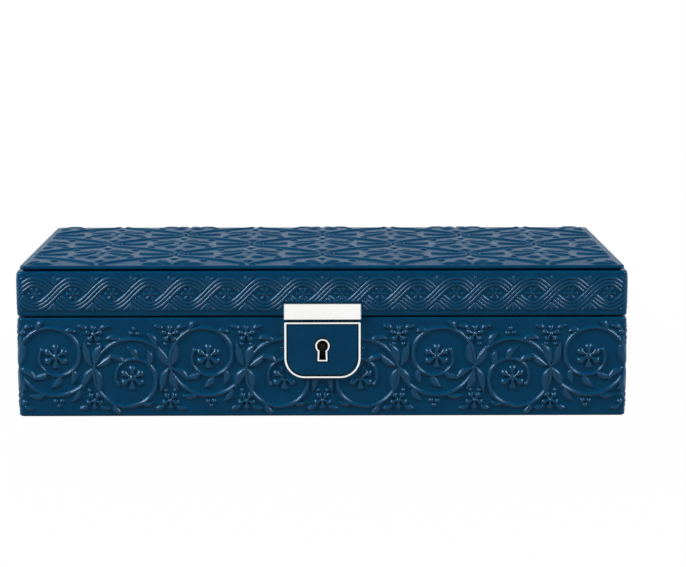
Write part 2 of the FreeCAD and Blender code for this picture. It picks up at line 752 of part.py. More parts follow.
def hasp_bar(fixings):
    """Plain polished bar over the front of the lid, relieved where it passes the base's leather."""
    body = new_body("hasp_strip")
    section = sketch_on(body, "YZ", "0")
    draw_outline(section, [
        ("-half_depth", "lid_rim + bar_step"),
        ("-half_depth", "bar_top"),
        ("-(half_depth + bar_thick)", "bar_top"),
        ("-(half_depth + bar_thick)", "bar_bottom"),
        ("-(half_depth + bar_relief)", "bar_bottom"),
        ("-(half_depth + bar_relief)", "lid_rim + bar_step"),
    ])
    pad(body, section, "plate_width", side="Symmetric")
    soften(body, "plate_soft", lying_at(1, "-(half_depth + bar_thick)"), kind="Chamfer")
    keep(joined("hasp_bar", [body] + fixings))


def hasp_staple():
    """Plate let into the lid's rim, with a leg that drops into the lock."""
    body = new_body("hasp_staple")
    plate = sketch_on(body, "XY", "lid_rim")
    draw_rectangle(plate, both("staple_half"), ("-board_y", "-board_y + staple_width"))
    pad(body, plate, "leather")
    leg = sketch_on(body, "XY", "lid_rim")
    draw_rectangle(leg, both("leg_half"), ("leg_front", "leg_back"))
    pad(body, leg, "leg_length", backwards=True)
    eye = sketch_on(body, "YZ", "0")
    draw_rectangle(eye, ("leg_front + eye_setin", "leg_back - eye_setin"), ("eye_bottom", "eye_top"))
    pocket(body, eye)
    keep(body)


bar_prongs = prongs("bar_prong", [
    ("-bar_prong_side", "bar_prong_height"),
    ("bar_prong_side", "bar_prong_height"),
])
hasp_bar(bar_prongs)
hasp_staple()


# Base: felt, boards, the leather wrap and the linings

def base_boards():
    """Floor and four walls inside the leather, with room for the lock and the hinges."""
    carcass = slab("base_carcass", "board_x", "board_y", "board_foot", "board_head",
                   "corner_radius - leather")
    bevel_rear(carcass, "pin_y - bevel_step", "board_head", -1)
    heights = ("board_foot", "board_head")
    front = block("base_front_slab", both("half_width"), ("-half_depth", "-inner_y"), heights)
    back = block("base_back_slab", both("half_width"), ("inner_y", "half_depth"), heights)
    mortise = block("lock_mortise", both("box_width / 2"), (f"-board_y - {PAST}", "box_back"),
                    ("box_bottom", f"board_head + {PAST}"))
    keep(cut("base_front_board", shared("base_front_blank", carcass, front),
             [mortise] + plate_prongs))
    keep(cut("base_back_board", shared("base_back_blank", carcass, back), barrels))
    keep(block("base_left_board", ("-board_x", "-inner_x"), both("inner_y"), heights))
    keep(block("base_right_board", ("inner_x", "board_x"), both("inner_y"), heights))
    keep(block("base_floor_board", both("inner_x"), both("inner_y"), ("board_foot", "floor_top")))
    return carcass


def base_leather(carcass):
    """One wrap over the sides, turned in over the rim and under the floor."""
    outside = slab("base_outside", "half_width", "half_depth", "felt", "base_height", "corner_radius",
                   foot_break="edge_break", head_break="edge_break")
    bevel_rear(outside, "pin_y", "base_height", -1)
    mouth = block("base_mouth", both("inner_x"), both("inner_y"), ("floor_top", f"base_height + {PAST}"))
    under = block("base_under", both("turn_x"), both("turn_y"), ("0", "floor_top"))
    selvedge = block("selvedge_seat", both("selvedge_length / 2"), ("-board_y", "-board_y + selvedge_width"),
                     ("board_head", f"base_height + {PAST}"))
    window = block("keyhole_window", both("window_half"), (f"-half_depth - {PAST}", "-board_y"),
                   ("key_foot - key_wall - window_room", "key_height + key_radius + key_wall + window_room"))
    seats = [item["base_seat"] for item in hinges]
    keep(cut("base_leather_wrap", outside,
             [carcass, mouth, under, selvedge, window] + seats + barrels + plate_prongs))


def base_linings():
    """Suede-covered cards; the wall cards stand above the rim as a neck for the lid."""
    keep(block("base_floor_lining", both("inner_x"), both("inner_y"), ("floor_top", "tray_floor")))
    for name, sign in (("front", -1), ("back", 1)):
        reach = sorted((f"({sign}) * tray_y", f"({sign}) * inner_y"), key=value)
        keep(wall(f"base_{name}_lining", both("inner_x"), reach, "tray_floor", "neck_top", 0, "lining_round"))
    for name, sign in (("left", -1), ("right", 1)):
        reach = sorted((f"({sign}) * tray_x", f"({sign}) * inner_x"), key=value)
        keep(wall(f"base_{name}_lining", reach, both("tray_y"), "tray_floor", "neck_top", 1, "lining_round"))


keep(slab("underside_felt", "half_width - felt_inset", "half_depth - felt_inset", "0", "felt",
          "felt_clip", kind="Chamfer"))
keep(block("underside_card", both("turn_x"), both("turn_y"), ("felt", "board_foot")))
base_leather(base_boards())
base_linings()


# Tray: dividers, and a bed of ring rolls on the left

def ring_roll(number):
    """A padded roll across the ring section, round on top and flat where it rests."""
    body = new_body(f"ring_roll_{number + 1}")
    section = sketch_on(body, "YZ", "0")
    draw_roll(section)
    pad(body, section, "ring_width - 2 * seat_gap", side="Symmetric")
    pitch = f"(2 * tray_y / {ROLL_COUNT})"
    place(body, "-tray_x + ring_width / 2", f"-tray_y + {number + 0.5} * {pitch}", "bed_top")
    keep(body)


def dividers():
    """One divider beside the rings, one along the case, and short ones behind it."""
    keep(wall("ring_divider", ("ring_right", "rooms_left"), both("tray_y"),
              "tray_floor", "divider_top", 1, "divider_round"))
    keep(wall("long_divider", ("rooms_left", "tray_x"), ("long_front", "long_back"),
              "tray_floor", "divider_top", 0, "divider_round"))
    gaps = SMALL_COMPARTMENTS - 1
    room = f"((tray_x - rooms_left - {gaps} * divider) / {SMALL_COMPARTMENTS})"
    for number in range(1, SMALL_COMPARTMENTS):
        left = f"rooms_left + {number} * {room} + {number - 1} * divider"
        keep(wall(f"small_divider_{number}", (left, f"{left} + divider"), ("long_back", "tray_y"),
                  "tray_floor", "divider_top", 1, "divider_round"))


keep(block("ring_bed", ("-tray_x + seat_gap", "ring_right - seat_gap"), both("tray_y - seat_gap"),
           ("tray_floor", "bed_top")))
for number in range(ROLL_COUNT):
    ring_roll(number)
dividers()


# Lid: boards, the leather wrap, the padded top panel, linings and a mirror

def lid_boards():
    """Top and four walls inside the leather, with room for the hinges and the hasp."""
    carcass = slab("lid_carcass", "board_x", "board_y", "lid_board_foot", "lid_board_head",
                   "corner_radius - leather")
    bevel_rear(carcass, "pin_y - bevel_step", "lid_board_foot", 1)
    heights = ("lid_board_foot", "lid_board_head")
    front = block("lid_front_slab", both("half_width"), ("-half_depth", "-lid_inner_y"), heights)
    back = block("lid_back_slab", both("half_width"), ("lid_inner_y", "half_depth"), heights)
    keep(cut("lid_front_board", shared("lid_front_blank", carcass, front), bar_prongs))
    keep(cut("lid_back_board", shared("lid_back_blank", carcass, back), barrels))
    keep(block("lid_left_board", ("-board_x", "-lid_inner_x"), both("lid_inner_y"), heights))
    keep(block("lid_right_board", ("lid_inner_x", "board_x"), both("lid_inner_y"), heights))
    keep(block("lid_top_board", both("lid_inner_x"), both("lid_inner_y"), ("lid_roof", "lid_board_head")))
    return carcass


def lid_leather(carcass):
    """One wrap over the sides, turned in over the rim and the top."""
    outside = slab("lid_outside", "half_width", "half_depth", "lid_rim", "lid_head", "corner_radius",
                   foot_break="edge_break", head_break="edge_break")
    bevel_rear(outside, "pin_y", "lid_rim", 1)
    mouth = block("lid_mouth", both("lid_inner_x"), both("lid_inner_y"), (f"lid_rim - {PAST}", "lid_roof"))
    over = block("lid_over", both("turn_x"), both("turn_y"), ("lid_roof", f"lid_head + {PAST}"))
    staple = block("staple_seat", both("staple_half"), ("-board_y", "-board_y + staple_width"),
                   (f"lid_rim - {PAST}", "lid_board_foot"))
    seats = [item["lid_seat"] for item in hinges]
    keep(cut("lid_leather_wrap", outside, [carcass, mouth, over, staple] + seats + barrels + bar_prongs))


def top_panel():
    """Card and foam in a leather skin that is turned in underneath, on a card that leaves a groove."""
    card_foot = "riser_head + panel_skin"
    filler = block("lid_filler", both("turn_x"), both("turn_y"), ("lid_board_head", card_foot))
    riser = block("panel_riser", both("half_width - riser_inset"), both("half_depth - riser_inset"),
                  ("lid_head", "riser_head"))
    keep(joined("lid_filler_card", [filler, riser]))
    card_head = f"{card_foot} + panel_card"
    foam_head = "panel_head - panel_skin"
    core = (both("panel_x - panel_edge"), both("panel_y - panel_edge"))
    card = keep(block("panel_board", *core, (card_foot, card_head)))
    foam = keep(block("panel_foam", *core, (card_head, foam_head)))
    outside = slab("panel_outside", "panel_x", "panel_y", "riser_head", "panel_head", "panel_corner",
                   foot_break="panel_foot", head_round="panel_round")
    under = block("panel_under", both("turn_x"), both("turn_y"), (f"riser_head - {PAST}", card_foot))
    keep(cut("panel_leather", outside, [card, foam, under]))


def lid_linings():
    """Suede strip round the walls, and a suede ceiling with a mirror let in."""
    room = block("lid_room", both("lid_inner_x - lid_lining"), both("lid_inner_y - lid_lining"),
                 (f"lid_rim - {PAST}", "lid_roof"))
    strip = block("lid_strip", both("lid_inner_x"), both("lid_inner_y"), ("lid_rim", "lid_vault"))
    keep(cut("lid_side_lining", strip, [room]))
    window = block("mirror_window", both("mirror_width / 2 + mirror_gap"),
                   both("mirror_depth / 2 + mirror_gap"), (f"lid_vault - {PAST}", "lid_roof"))
    ceiling = block("lid_ceiling_card", both("lid_inner_x"), both("lid_inner_y"), ("lid_vault", "lid_roof"))
    keep(cut("lid_ceiling_lining", ceiling, [window]))
    mirror = new_body("lid_mirror")
    glass = sketch_on(mirror, "XY", "lid_roof - mirror_glass")
    draw_rectangle(glass, both("mirror_width / 2"), both("mirror_depth / 2"))
    pad(mirror, glass, "mirror_glass")
    soften(mirror, "mirror_bevel", lying_at(2, "lid_roof - mirror_glass"), kind="Chamfer")
    keep(mirror)


lid_leather(lid_boards())
top_panel()
lid_linings()


# Check every object, then write one file for each sub-part
doc.recompute()
for thing in doc.Objects:
    if "Invalid" in thing.State or "Error" in thing.State:
        raise RuntimeError(f"{thing.Name} failed: {thing.State}")
for node in nodes:
    if node.Shape.isNull() or not node.Shape.isValid():
        raise RuntimeError(f"{node.Label} has no valid shape")

os.makedirs("parts", exist_ok=True)
for node in nodes:
    node.Shape.exportStep(os.path.join("parts", node.Label + ".step"))
print(f"{len(nodes)} sub-parts written")
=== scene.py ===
import json
import math

import bmesh
import bpy
import numpy as np
from mathutils import Matrix, Vector
from mathutils.geometry import tessellate_polygon


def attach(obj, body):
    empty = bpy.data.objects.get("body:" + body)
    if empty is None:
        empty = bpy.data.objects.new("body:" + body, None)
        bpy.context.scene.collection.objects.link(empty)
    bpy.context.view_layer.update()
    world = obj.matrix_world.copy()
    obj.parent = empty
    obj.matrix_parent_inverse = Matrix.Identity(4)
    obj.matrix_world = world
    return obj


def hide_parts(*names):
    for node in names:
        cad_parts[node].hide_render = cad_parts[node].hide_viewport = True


# A leather-covered jewellery case. Lengths in this file are millimetres until a mesh or a lamp is
# made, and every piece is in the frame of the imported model: +X right, -Y front, +Z up.

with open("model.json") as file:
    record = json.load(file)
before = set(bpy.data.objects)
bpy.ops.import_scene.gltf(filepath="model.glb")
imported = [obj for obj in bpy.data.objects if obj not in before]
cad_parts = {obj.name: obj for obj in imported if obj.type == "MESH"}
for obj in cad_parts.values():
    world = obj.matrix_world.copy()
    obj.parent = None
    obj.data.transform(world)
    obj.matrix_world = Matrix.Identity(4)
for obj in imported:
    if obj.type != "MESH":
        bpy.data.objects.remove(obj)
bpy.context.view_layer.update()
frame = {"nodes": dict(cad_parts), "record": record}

MM = 0.001
scene = bpy.context.scene
scene.view_settings.view_transform = "Standard"


def placed(name, data):
    """A new object in the scene."""
    thing = bpy.data.objects.new(name, data)
    scene.collection.objects.link(thing)
    return thing


def mesh_from(name, points, faces, flat=False):
    """A mesh of points in millimetres, shaded smooth or flat."""
    mesh = bpy.data.meshes.new(name)
    mesh.from_pydata((np.asarray(points) * MM).tolist(), [], faces, shade_flat=flat)
    return mesh


# Camera, fitted to the case's edges in the photo

IMAGE_WIDTH = 686
FOCAL_PIXELS = 2004.8
SENSOR_WIDTH = 36.0
CAMERA_PLACE = (0.4, -1044.8, 220.5)
TILT_DOWN = 9.011
YAW_RIGHT = 0.573
NEAREST = 20
FARTHEST = 60000


def add_camera():
    """The photo's camera."""
    data = bpy.data.cameras.new("camera")
    data.sensor_fit = "HORIZONTAL"
    data.sensor_width = SENSOR_WIDTH
    data.lens = FOCAL_PIXELS / IMAGE_WIDTH * SENSOR_WIDTH
    data.clip_start = NEAREST * MM
    data.clip_end = FARTHEST * MM
    camera = placed("camera", data)
    camera.location = Vector(CAMERA_PLACE) * MM
    camera.rotation_euler = (math.radians(90 - TILT_DOWN), 0, math.radians(-YAW_RIGHT))
    scene.camera = camera


# Light: a plain grey room, and softboxes that give the leather its highlights

AMBIENT = 0.14
ROOM_COLOUR = (0.84, 0.94, 1.0, 1)
WHITE_LIGHT = (1.0, 1.0, 1.0)
COOL_LIGHT = (0.66, 0.82, 1.0)
SOFTBOXES = (
    # name, degrees off the front, degrees round from the top, length, breadth, power in watts and colour
    ("left", 69, -52, 460, 460, 25.0, WHITE_LIGHT),
    ("right", 69, 56, 440, 440, 17.5, WHITE_LIGHT),
    ("behind", 163, 0, 1500, 320, 1.1, COOL_LIGHT),
    ("rear_left", 118, -74, 420, 420, 11.0, WHITE_LIGHT),
    ("rear_right", 118, 74, 420, 420, 9.0, WHITE_LIGHT),
)
LAMP_FAR = 1300
AIM = (0, 0, 40)
FLOOR_COLOUR = (0.3, 0.3, 0.3, 1)
FLOOR_RADIUS = 6000
FLOOR_SIDES = 48
WALL_FOOT = 250
WALL_HEIGHT = 1500
# the floor is this white near the case, and white from SHADOW_FAR on
NEAR_WHITE = 0.985
SHADOW_NEAR = 220
SHADOW_FAR = 500


def link(tree, output, node, name):
    """Joins an output to a node's input of that name or number."""
    tree.links.new(output, node.inputs[name])


def set_inputs(node, **values):
    """Sets a node's inputs by name, with two underscores for a space."""
    for name, value in values.items():
        node.inputs[name.replace("__", " ")].default_value = value


def maths(tree, operation, first, second):
    """Two values joined by an operation."""
    node = tree.nodes.new("ShaderNodeMath")
    node.operation = operation
    link(tree, first, node, 0)
    link(tree, second, node, 1)
    return node.outputs[0]


def seen_white(tree):
    """1 for camera, mirror and glass rays, which see the white background."""
    path = tree.nodes.new("ShaderNodeLightPath")
    level = path.outputs["Is Camera Ray"]
    for name in ("Is Glossy Ray", "Is Transmission Ray"):
        level = maths(tree, "MAXIMUM", level, path.outputs[name])
    return level


def map_range(tree, output, source, target):
    """A value carried from one pair of ends to another."""
    node = tree.nodes.new("ShaderNodeMapRange")
    set_inputs(node, From__Min=source[0], From__Max=source[1], To__Min=target[0], To__Max=target[1])
    link(tree, output, node, "Value")
    return node.outputs["Result"]


def add_world():
    """An even room that lights the case softly from all round."""
    world = bpy.data.worlds.new("room")
    scene.world = world
    world.use_nodes = True
    set_inputs(world.node_tree.nodes["Background"], Color=ROOM_COLOUR, Strength=AMBIENT)


def add_softbox(name, off_front, round_top, length, breadth, power, colour):
    """A strip lamp on an arch round the case, its length along the arch."""
    off = math.radians(off_front)
    turn = math.radians(round_top)
    outward = Vector((math.sin(turn), 0, math.cos(turn)))
    way = Vector((0, -math.cos(off), 0)) + outward * math.sin(off)
    along = Vector((math.cos(turn), 0, -math.sin(turn)))
    data = bpy.data.lights.new(name, "AREA")
    data.shape = "RECTANGLE"
    data.size = length * MM
    data.size_y = breadth * MM
    data.energy = power
    data.color = colour
    lamp = placed(name, data)
    turned = Matrix((along, way.cross(along), way)).transposed().to_4x4()
    lamp.matrix_world = Matrix.Translation((Vector(AIM) + way * LAMP_FAR) * MM) @ turned


def white_ground(tree, shader):
    """White to the camera, a little less near the case, and fading to the room up the wall."""
    set_inputs(shader, Base__Color=FLOOR_COLOUR, Roughness=1.0, Specular__IOR__Level=0.0)
    place = tree.nodes.new("ShaderNodeNewGeometry")
    length = tree.nodes.new("ShaderNodeVectorMath")
    length.operation = "LENGTH"
    link(tree, place.outputs["Position"], length, 0)
    shadow_ends = (SHADOW_NEAR * MM, SHADOW_FAR * MM)
    white = map_range(tree, length.outputs["Value"], shadow_ends, (NEAR_WHITE, 1))
    height = tree.nodes.new("ShaderNodeSeparateXYZ")
    link(tree, place.outputs["Position"], height, 0)
    glow = tree.nodes.new("ShaderNodeEmission")
    wall_ends = (WALL_FOOT * MM, WALL_HEIGHT * MM)
    link(tree, map_range(tree, height.outputs["Z"], wall_ends, (1, AMBIENT)), glow, "Strength")
    blend = tree.nodes.new("ShaderNodeMixShader")
    link(tree, maths(tree, "MULTIPLY", white, seen_white(tree)), blend, 0)
    link(tree, shader.outputs[0], blend, 1)
    link(tree, glow.outputs[0], blend, 2)
    link(tree, blend.outputs[0], tree.nodes["Material Output"], "Surface")


def add_floor():
    """A round floor with a low wall."""
    flat = arc((0, 0), FLOOR_RADIUS, 0, 360 - 360 / FLOOR_SIDES, FLOOR_SIDES)
    rim = np.column_stack([flat, np.zeros(FLOOR_SIDES)])
    head = rim + (0, 0, WALL_HEIGHT)
    faces = [list(range(FLOOR_SIDES))]
    for n in range(FLOOR_SIDES):
        m = (n + 1) % FLOOR_SIDES
        faces.append([m, n, FLOOR_SIDES + n, FLOOR_SIDES + m])
    mesh = mesh_from("floor", np.concatenate([rim, head]), faces, flat=True)
    placed("floor", mesh)
    mesh.materials.append(material_of("floor", white_ground))


# Materials

UNIT = (0, 1)
# the range in which most of a noise pattern lies
NOISE_MIDDLE = (0.3, 0.7)
EVEN = (1, 1, 1)
DRAWN = (0.08, 1, 1)


def material_of(name, paint, *values):
    """A material whose tree and shader are set by a function."""
    material = bpy.data.materials.new(name)
    material.use_nodes = True
    tree = material.node_tree
    paint(tree, tree.nodes["Principled BSDF"], *values)
    return material


def pattern(tree, kind, scale, stretch=EVEN, **values):
    """A noise or cell pattern in the piece's own metres; scale is cycles in a metre."""
    place = tree.nodes.new("ShaderNodeTexCoord")
    mapping = tree.nodes.new("ShaderNodeMapping")
    set_inputs(mapping, Scale=stretch)
    link(tree, place.outputs["Object"], mapping, "Vector")
    node = tree.nodes.new("ShaderNodeTex" + kind)
    link(tree, mapping.outputs[0], node, "Vector")
    set_inputs(node, Scale=scale, **values)
    return node.outputs["Distance" if kind == "Voronoi" else "Fac"]


def mixed(tree, factor, first, second):
    """A colour between two others, each a colour or a socket."""
    node = tree.nodes.new("ShaderNodeMix")
    node.data_type = "RGBA"
    link(tree, factor, node, 0)
    for socket, colour in ((node.inputs[6], first), (node.inputs[7], second)):
        if isinstance(colour, tuple):
            socket.default_value = (*colour, 1)
        else:
            tree.links.new(colour, socket)
    return node.outputs[2]


def bumped(tree, shader, layers):
    """Stacks bumps of (pattern, depth in mm) on the shader's normal."""
    normal = None
    for output, depth in layers:
        bump = tree.nodes.new("ShaderNodeBump")
        set_inputs(bump, Distance=depth * MM)
        link(tree, output, bump, "Height")
        if normal:
            link(tree, normal, bump, "Normal")
        normal = bump.outputs[0]
    link(tree, normal, shader, "Normal")


def coloured(tree, shader, factor, dark, light):
    """Colours a shader from dark to light."""
    link(tree, mixed(tree, factor, dark, light), shader, "Base Color")


LEATHER_DARK = (0.0002, 0.0250, 0.0620)
LEATHER_LIGHT = (0.0005, 0.0330, 0.0790)
# painted highlight: the colour that the ridges' crests are painted, a little lighter than most of the ground
LEATHER_RIDGE_HIGHLIGHT = (0.0005, 0.0325, 0.0780)
LEATHER_ROUGH = (0.27, 0.36)
SPECULAR_TINT = (0.3, 0.62, 1.0, 1)
# the coat's weight between two shares of the relief's height
COAT_RISE = (0.4, 0.9)
COAT_WEIGHT = (0, 0.26)


def leather(tree, shader):
    """Semi-gloss dyed leather: fine grain, faint mottling, and ridges painted a little lighter as a painted
    highlight.
    """
    mottle = pattern(tree, "Noise", scale=140, Detail=4.0, Roughness=0.6)
    ground = mixed(tree, map_range(tree, mottle, NOISE_MIDDLE, UNIT), LEATHER_DARK, LEATHER_LIGHT)
    crest = tree.nodes.new("ShaderNodeAttribute")
    crest.attribute_name = "crest"
    crest_share = crest.outputs["Fac"]
    # the crests are painted towards a lighter colour as a painted highlight; the same share also sets the
    # coat
    coloured(tree, shader, crest_share, ground, LEATHER_RIDGE_HIGHLIGHT)
    link(tree, map_range(tree, crest_share, COAT_RISE, COAT_WEIGHT), shader, "Coat Weight")
    worn = pattern(tree, "Noise", scale=420, Detail=3.0)
    link(tree, map_range(tree, worn, NOISE_MIDDLE, LEATHER_ROUGH), shader, "Roughness")
    set_inputs(shader, IOR=1.28, Specular__Tint=SPECULAR_TINT, Coat__Roughness=0.15, Coat__IOR=1.5)
    cells = pattern(tree, "Voronoi", scale=1500, Randomness=1.0)
    pores = pattern(tree, "Noise", scale=2600, Detail=3.0)
    bumped(tree, shader, [(cells, 0.018), (pores, 0.012)])


SUEDE_DARK = (0.0085, 0.0190, 0.0430)
SUEDE_LIGHT = (0.0150, 0.0320, 0.0680)
SUEDE_SHEEN = (0.35, 0.5, 0.75, 1)
SUEDE_PATCHES = (0.35, 0.65)
SUEDE_FIBRES = (0.4, 0.8)
FIBRE_SHARE = (0, 0.5)


def suede(tree, shader):
    """Napped cloth: short fibres, brushed lighter and darker in patches."""
    brushed = pattern(tree, "Noise", scale=90, Detail=5.0, Roughness=0.65, Distortion=0.6)
    fibres = pattern(tree, "Noise", scale=3800, stretch=(1, 0.35, 1), Detail=4.0)
    patches = mixed(tree, map_range(tree, brushed, SUEDE_PATCHES, UNIT), SUEDE_DARK, SUEDE_LIGHT)
    lighter = map_range(tree, fibres, SUEDE_FIBRES, FIBRE_SHARE)
    coloured(tree, shader, lighter, patches, SUEDE_LIGHT)
    set_inputs(shader, Roughness=0.92, Specular__IOR__Level=0.1)
    set_inputs(shader, Sheen__Weight=0.35, Sheen__Roughness=0.45, Sheen__Tint=SUEDE_SHEEN)
    bumped(tree, shader, [(fibres, 0.05), (brushed, 0.12)])


def felt(tree, shader, dark, light):
    """Pressed felt: matted fibres."""
    mat = pattern(tree, "Noise", scale=1400, Detail=6.0, Roughness=0.7, Distortion=1.5)
    coloured(tree, shader, mat, dark, light)
    set_inputs(shader, Roughness=0.97, Specular__IOR__Level=0.1)
    bumped(tree, shader, [(mat, 0.15)])


BOARD_FLECKS = (0.35, 0.7)


def board(tree, shader, dark, light):
    """Pressed board: flecks and a rough cut."""
    flecks = pattern(tree, "Noise", scale=900, stretch=(1, 1, 3), Detail=5.0, Roughness=0.7)
    coloured(tree, shader, map_range(tree, flecks, BOARD_FLECKS, UNIT), dark, light)
    set_inputs(shader, Roughness=0.9, Specular__IOR__Level=0.2)
    bumped(tree, shader, [(flecks, 0.06)])


def metal(tree, shader, dark, light, rough, stretch, depth):
    """Metal with fine lines, which stretch may draw out one way, and a roughness that varies with them."""
    lines = pattern(tree, "Noise", scale=900, stretch=stretch, Detail=4.0)
    cloud = pattern(tree, "Noise", scale=60, Detail=3.0)
    coloured(tree, shader, map_range(tree, cloud, NOISE_MIDDLE, UNIT), dark, light)
    link(tree, map_range(tree, lines, NOISE_MIDDLE, rough), shader, "Roughness")
    set_inputs(shader, Metallic=1.0)
    bumped(tree, shader, [(lines, depth)])


def mirror(tree, shader, dark, light, rough):
    """Silvered glass, with a faint haze."""
    haze = pattern(tree, "Noise", scale=25, Detail=3.0)
    coloured(tree, shader, haze, dark, light)
    link(tree, map_range(tree, haze, NOISE_MIDDLE, rough), shader, "Roughness")
    set_inputs(shader, Metallic=1.0)


materials = {}
for name, paint, *values in (
    # slot and kind, and for some dark and light colours, roughness, stretch and depth of lines
    ("navy_leather", leather),
    ("inlay_leather", leather),
    ("greyboard", board, (0.36, 0.32, 0.26), (0.52, 0.47, 0.39)),
    ("suede", suede),
    ("ring_pad", suede),
    ("foam", board, (0.66, 0.65, 0.61), (0.80, 0.79, 0.75)),
    ("felt", felt, (0.006, 0.012, 0.025), (0.016, 0.028, 0.052)),
    ("polished_nickel", metal, (0.90, 0.90, 0.89), (0.94, 0.94, 0.93), (0.05, 0.09), EVEN, 0.0006),
    ("steel", metal, (0.56, 0.56, 0.56), (0.66, 0.66, 0.65), (0.22, 0.34), DRAWN, 0.002),
    ("mirror", mirror, (0.86, 0.89, 0.89), (0.91, 0.93, 0.93), (0.01, 0.03)),
    # the lock's inside, steel painted darker as painted shade in the keyhole, which isn't a slot of its own
    ("dark_steel", metal, (0.014, 0.014, 0.015), (0.024, 0.024, 0.025), (0.3, 0.42), DRAWN, 0.002),
):
    materials[name] = material_of(name, paint, *values)
LOCK_INSIDE = ("lock_case", "lock_drill_pin", "lock_bolt", "lock_guides", "lock_spring")


def finish_nodes():
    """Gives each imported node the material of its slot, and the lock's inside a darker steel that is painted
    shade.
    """
    for row in frame["record"]["subparts"]:
        mesh = frame["nodes"][row["node"]].data
        mesh.materials.clear()
        # the lock's inside takes the darker steel, painted shade that keeps the keyhole black
        kind = "dark_steel" if row["node"] in LOCK_INSIDE else row["material_slot"]
        mesh.materials.append(materials[kind])


def add_piece(mesh, body, slot):
    """A new object of a mesh, finished as a slot, that rides on a body."""
    piece = placed(mesh.name, mesh)
    mesh.materials.append(materials[slot])
    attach(piece, body)
    return piece


# Relief of the embossed leather, in millimetres over the leather's ground.
# A stroke is a line with a width and a rounded top: stems, leaves, petals and berries are all strokes.

STEM = 0.95
LEAF = 1.1
FLOWER = 1.3
BRAID_LINE = 0.6
EYE_RISE = 0.55
TOP_LINE = 0.9
# how much wider strokes are than drawn, and how round their tops are
SPREAD = 1.2
ROUNDNESS = 1.1
# shares of the height cut out along the middle of leaves and petals, and the cut's half width
LEAF_VEIN = 0.15
PETAL_VEIN = 0.22
VEIN_HALF = 0.3
LEAF_STALK = 0.25
LEAF_TIP = 0.12
LEAF_PULL = 0.7
PETAL_TAPER = (0.35, 0.8, 1.0, 0.85)
BOSS_RISE = 1.1
BERRY_DOT = 0.02
TINY = 1e-12


def arc(centre, radius, start, end, count):
    """Points on a circle, or on a spiral if radius is a pair; angles in degrees."""
    turn = np.radians(np.linspace(start, end, count))
    first, last = radius if isinstance(radius, tuple) else (radius, radius)
    reach = np.linspace(first, last, count)
    return np.stack([centre[0] + reach * np.cos(turn), centre[1] + reach * np.sin(turn)], axis=1)


def on_circle(centre, radius, angle):
    """One point on a circle."""
    return arc(centre, radius, angle, angle, 1)[0]


def bend(start, pull_a, pull_b, end, count):
    """Points on a cubic curve."""
    t = np.linspace(0, 1, count)[:, None]
    a, b, c, d = (np.array(p, float) for p in (start, pull_a, pull_b, end))
    return a * (1 - t) ** 3 + 3 * b * t * (1 - t) ** 2 + 3 * c * t ** 2 * (1 - t) + d * t ** 3


def stroke(points, width, height, vein=0.0):
    """width is a half width, or several along the line; vein is the share cut out along its middle."""
    points = np.asarray(points, float)
    widths = np.atleast_1d(np.asarray(width, float))
    along = np.linspace(0, len(widths) - 1, len(points))
    return points, np.interp(along, np.arange(len(widths)), widths), height, vein


def leaf(start, end, fat, sway, height=LEAF):
    """A pointed leaf from its stalk to its tip; sway bows it to the left."""
    a = np.array(start, float)
    b = np.array(end, float)
    way = b - a
    side = np.array([-way[1], way[0]])
    middle = (a + b) / 2 + side * sway
    path = bend(a, a + (middle - a) * LEAF_PULL, b + (middle - b) * LEAF_PULL, b, count=12)
    widths = [LEAF_STALK, 0.75 * fat, fat, 0.92 * fat, 0.6 * fat, LEAF_TIP]
    return stroke(path, widths, height, LEAF_VEIN)


def berry(place, radius, height):
    """A round bead."""
    x, y = place
    return stroke([(x - BERRY_DOT, y), (x + BERRY_DOT, y)], radius, height)


def rosette(place, inner, outer, petals, fat, turn, height, boss):
    """Rounded petals round a boss, from the inner radius to the outer."""
    marks = [berry(place, boss, height * BOSS_RISE)]
    widths = [fat * share for share in PETAL_TAPER]
    for n in range(petals):
        path = [on_circle(place, radius, turn + 360 * n / petals) for radius in (inner, outer)]
        marks.append(stroke(path, widths, height, PETAL_VEIN))
    return marks


def dome(x):
    """A stroke's rounded section."""
    return np.clip(1 - x * x, 0, None) ** ROUNDNESS


def fade(low, high, x):
    """From 0 at low to 1 at high, smoothly."""
    t = np.clip((x - low) / (high - low), 0, 1)
    return t * t * (3 - 2 * t)


def emboss(u, v, marks):
    """The highest of the strokes at each point."""
    out = np.zeros(u.shape)
    for points, widths, height, vein in marks:
        widths = widths * SPREAD
        reach = widths.max()
        low = points.min(axis=0) - reach
        high = points.max(axis=0) + reach
        near = np.flatnonzero((u > low[0]) & (u < high[0]) & (v > low[1]) & (v < high[1]))
        if not len(near):
            continue
        pu, pv = u.flat[near], v.flat[near]
        best = np.zeros(len(near))
        spine = np.full(len(near), np.inf)
        for (ax, ay), (bx, by), wa, wb in zip(points[:-1], points[1:], widths[:-1], widths[1:]):
            dx, dy = bx - ax, by - ay
            length = dx * dx + dy * dy + TINY
            t = np.clip(((pu - ax) * dx + (pv - ay) * dy) / length, 0, 1)
            gap = np.hypot(pu - ax - t * dx, pv - ay - t * dy)
            best = np.maximum(best, dome(gap / (wa + (wb - wa) * t)))
            spine = np.minimum(spine, gap)
        rise = height * best * (1 - vein * np.exp(-((spine / VEIN_HALF) ** 2)))
        out.flat[near] = np.maximum(out.flat[near], rise)
    return out


def stamp(out, x, y, marks, reach_x, reach_y=np.inf):
    """Raises out to the strokes about x and y, within reach of them."""
    near = (np.abs(x) < reach_x) & (np.abs(y) < reach_y)
    out[near] = np.maximum(out[near], emboss(x[near], y[near], marks))


# The base: a running scroll. Each lobe of the stem curls into a volute round a flower.

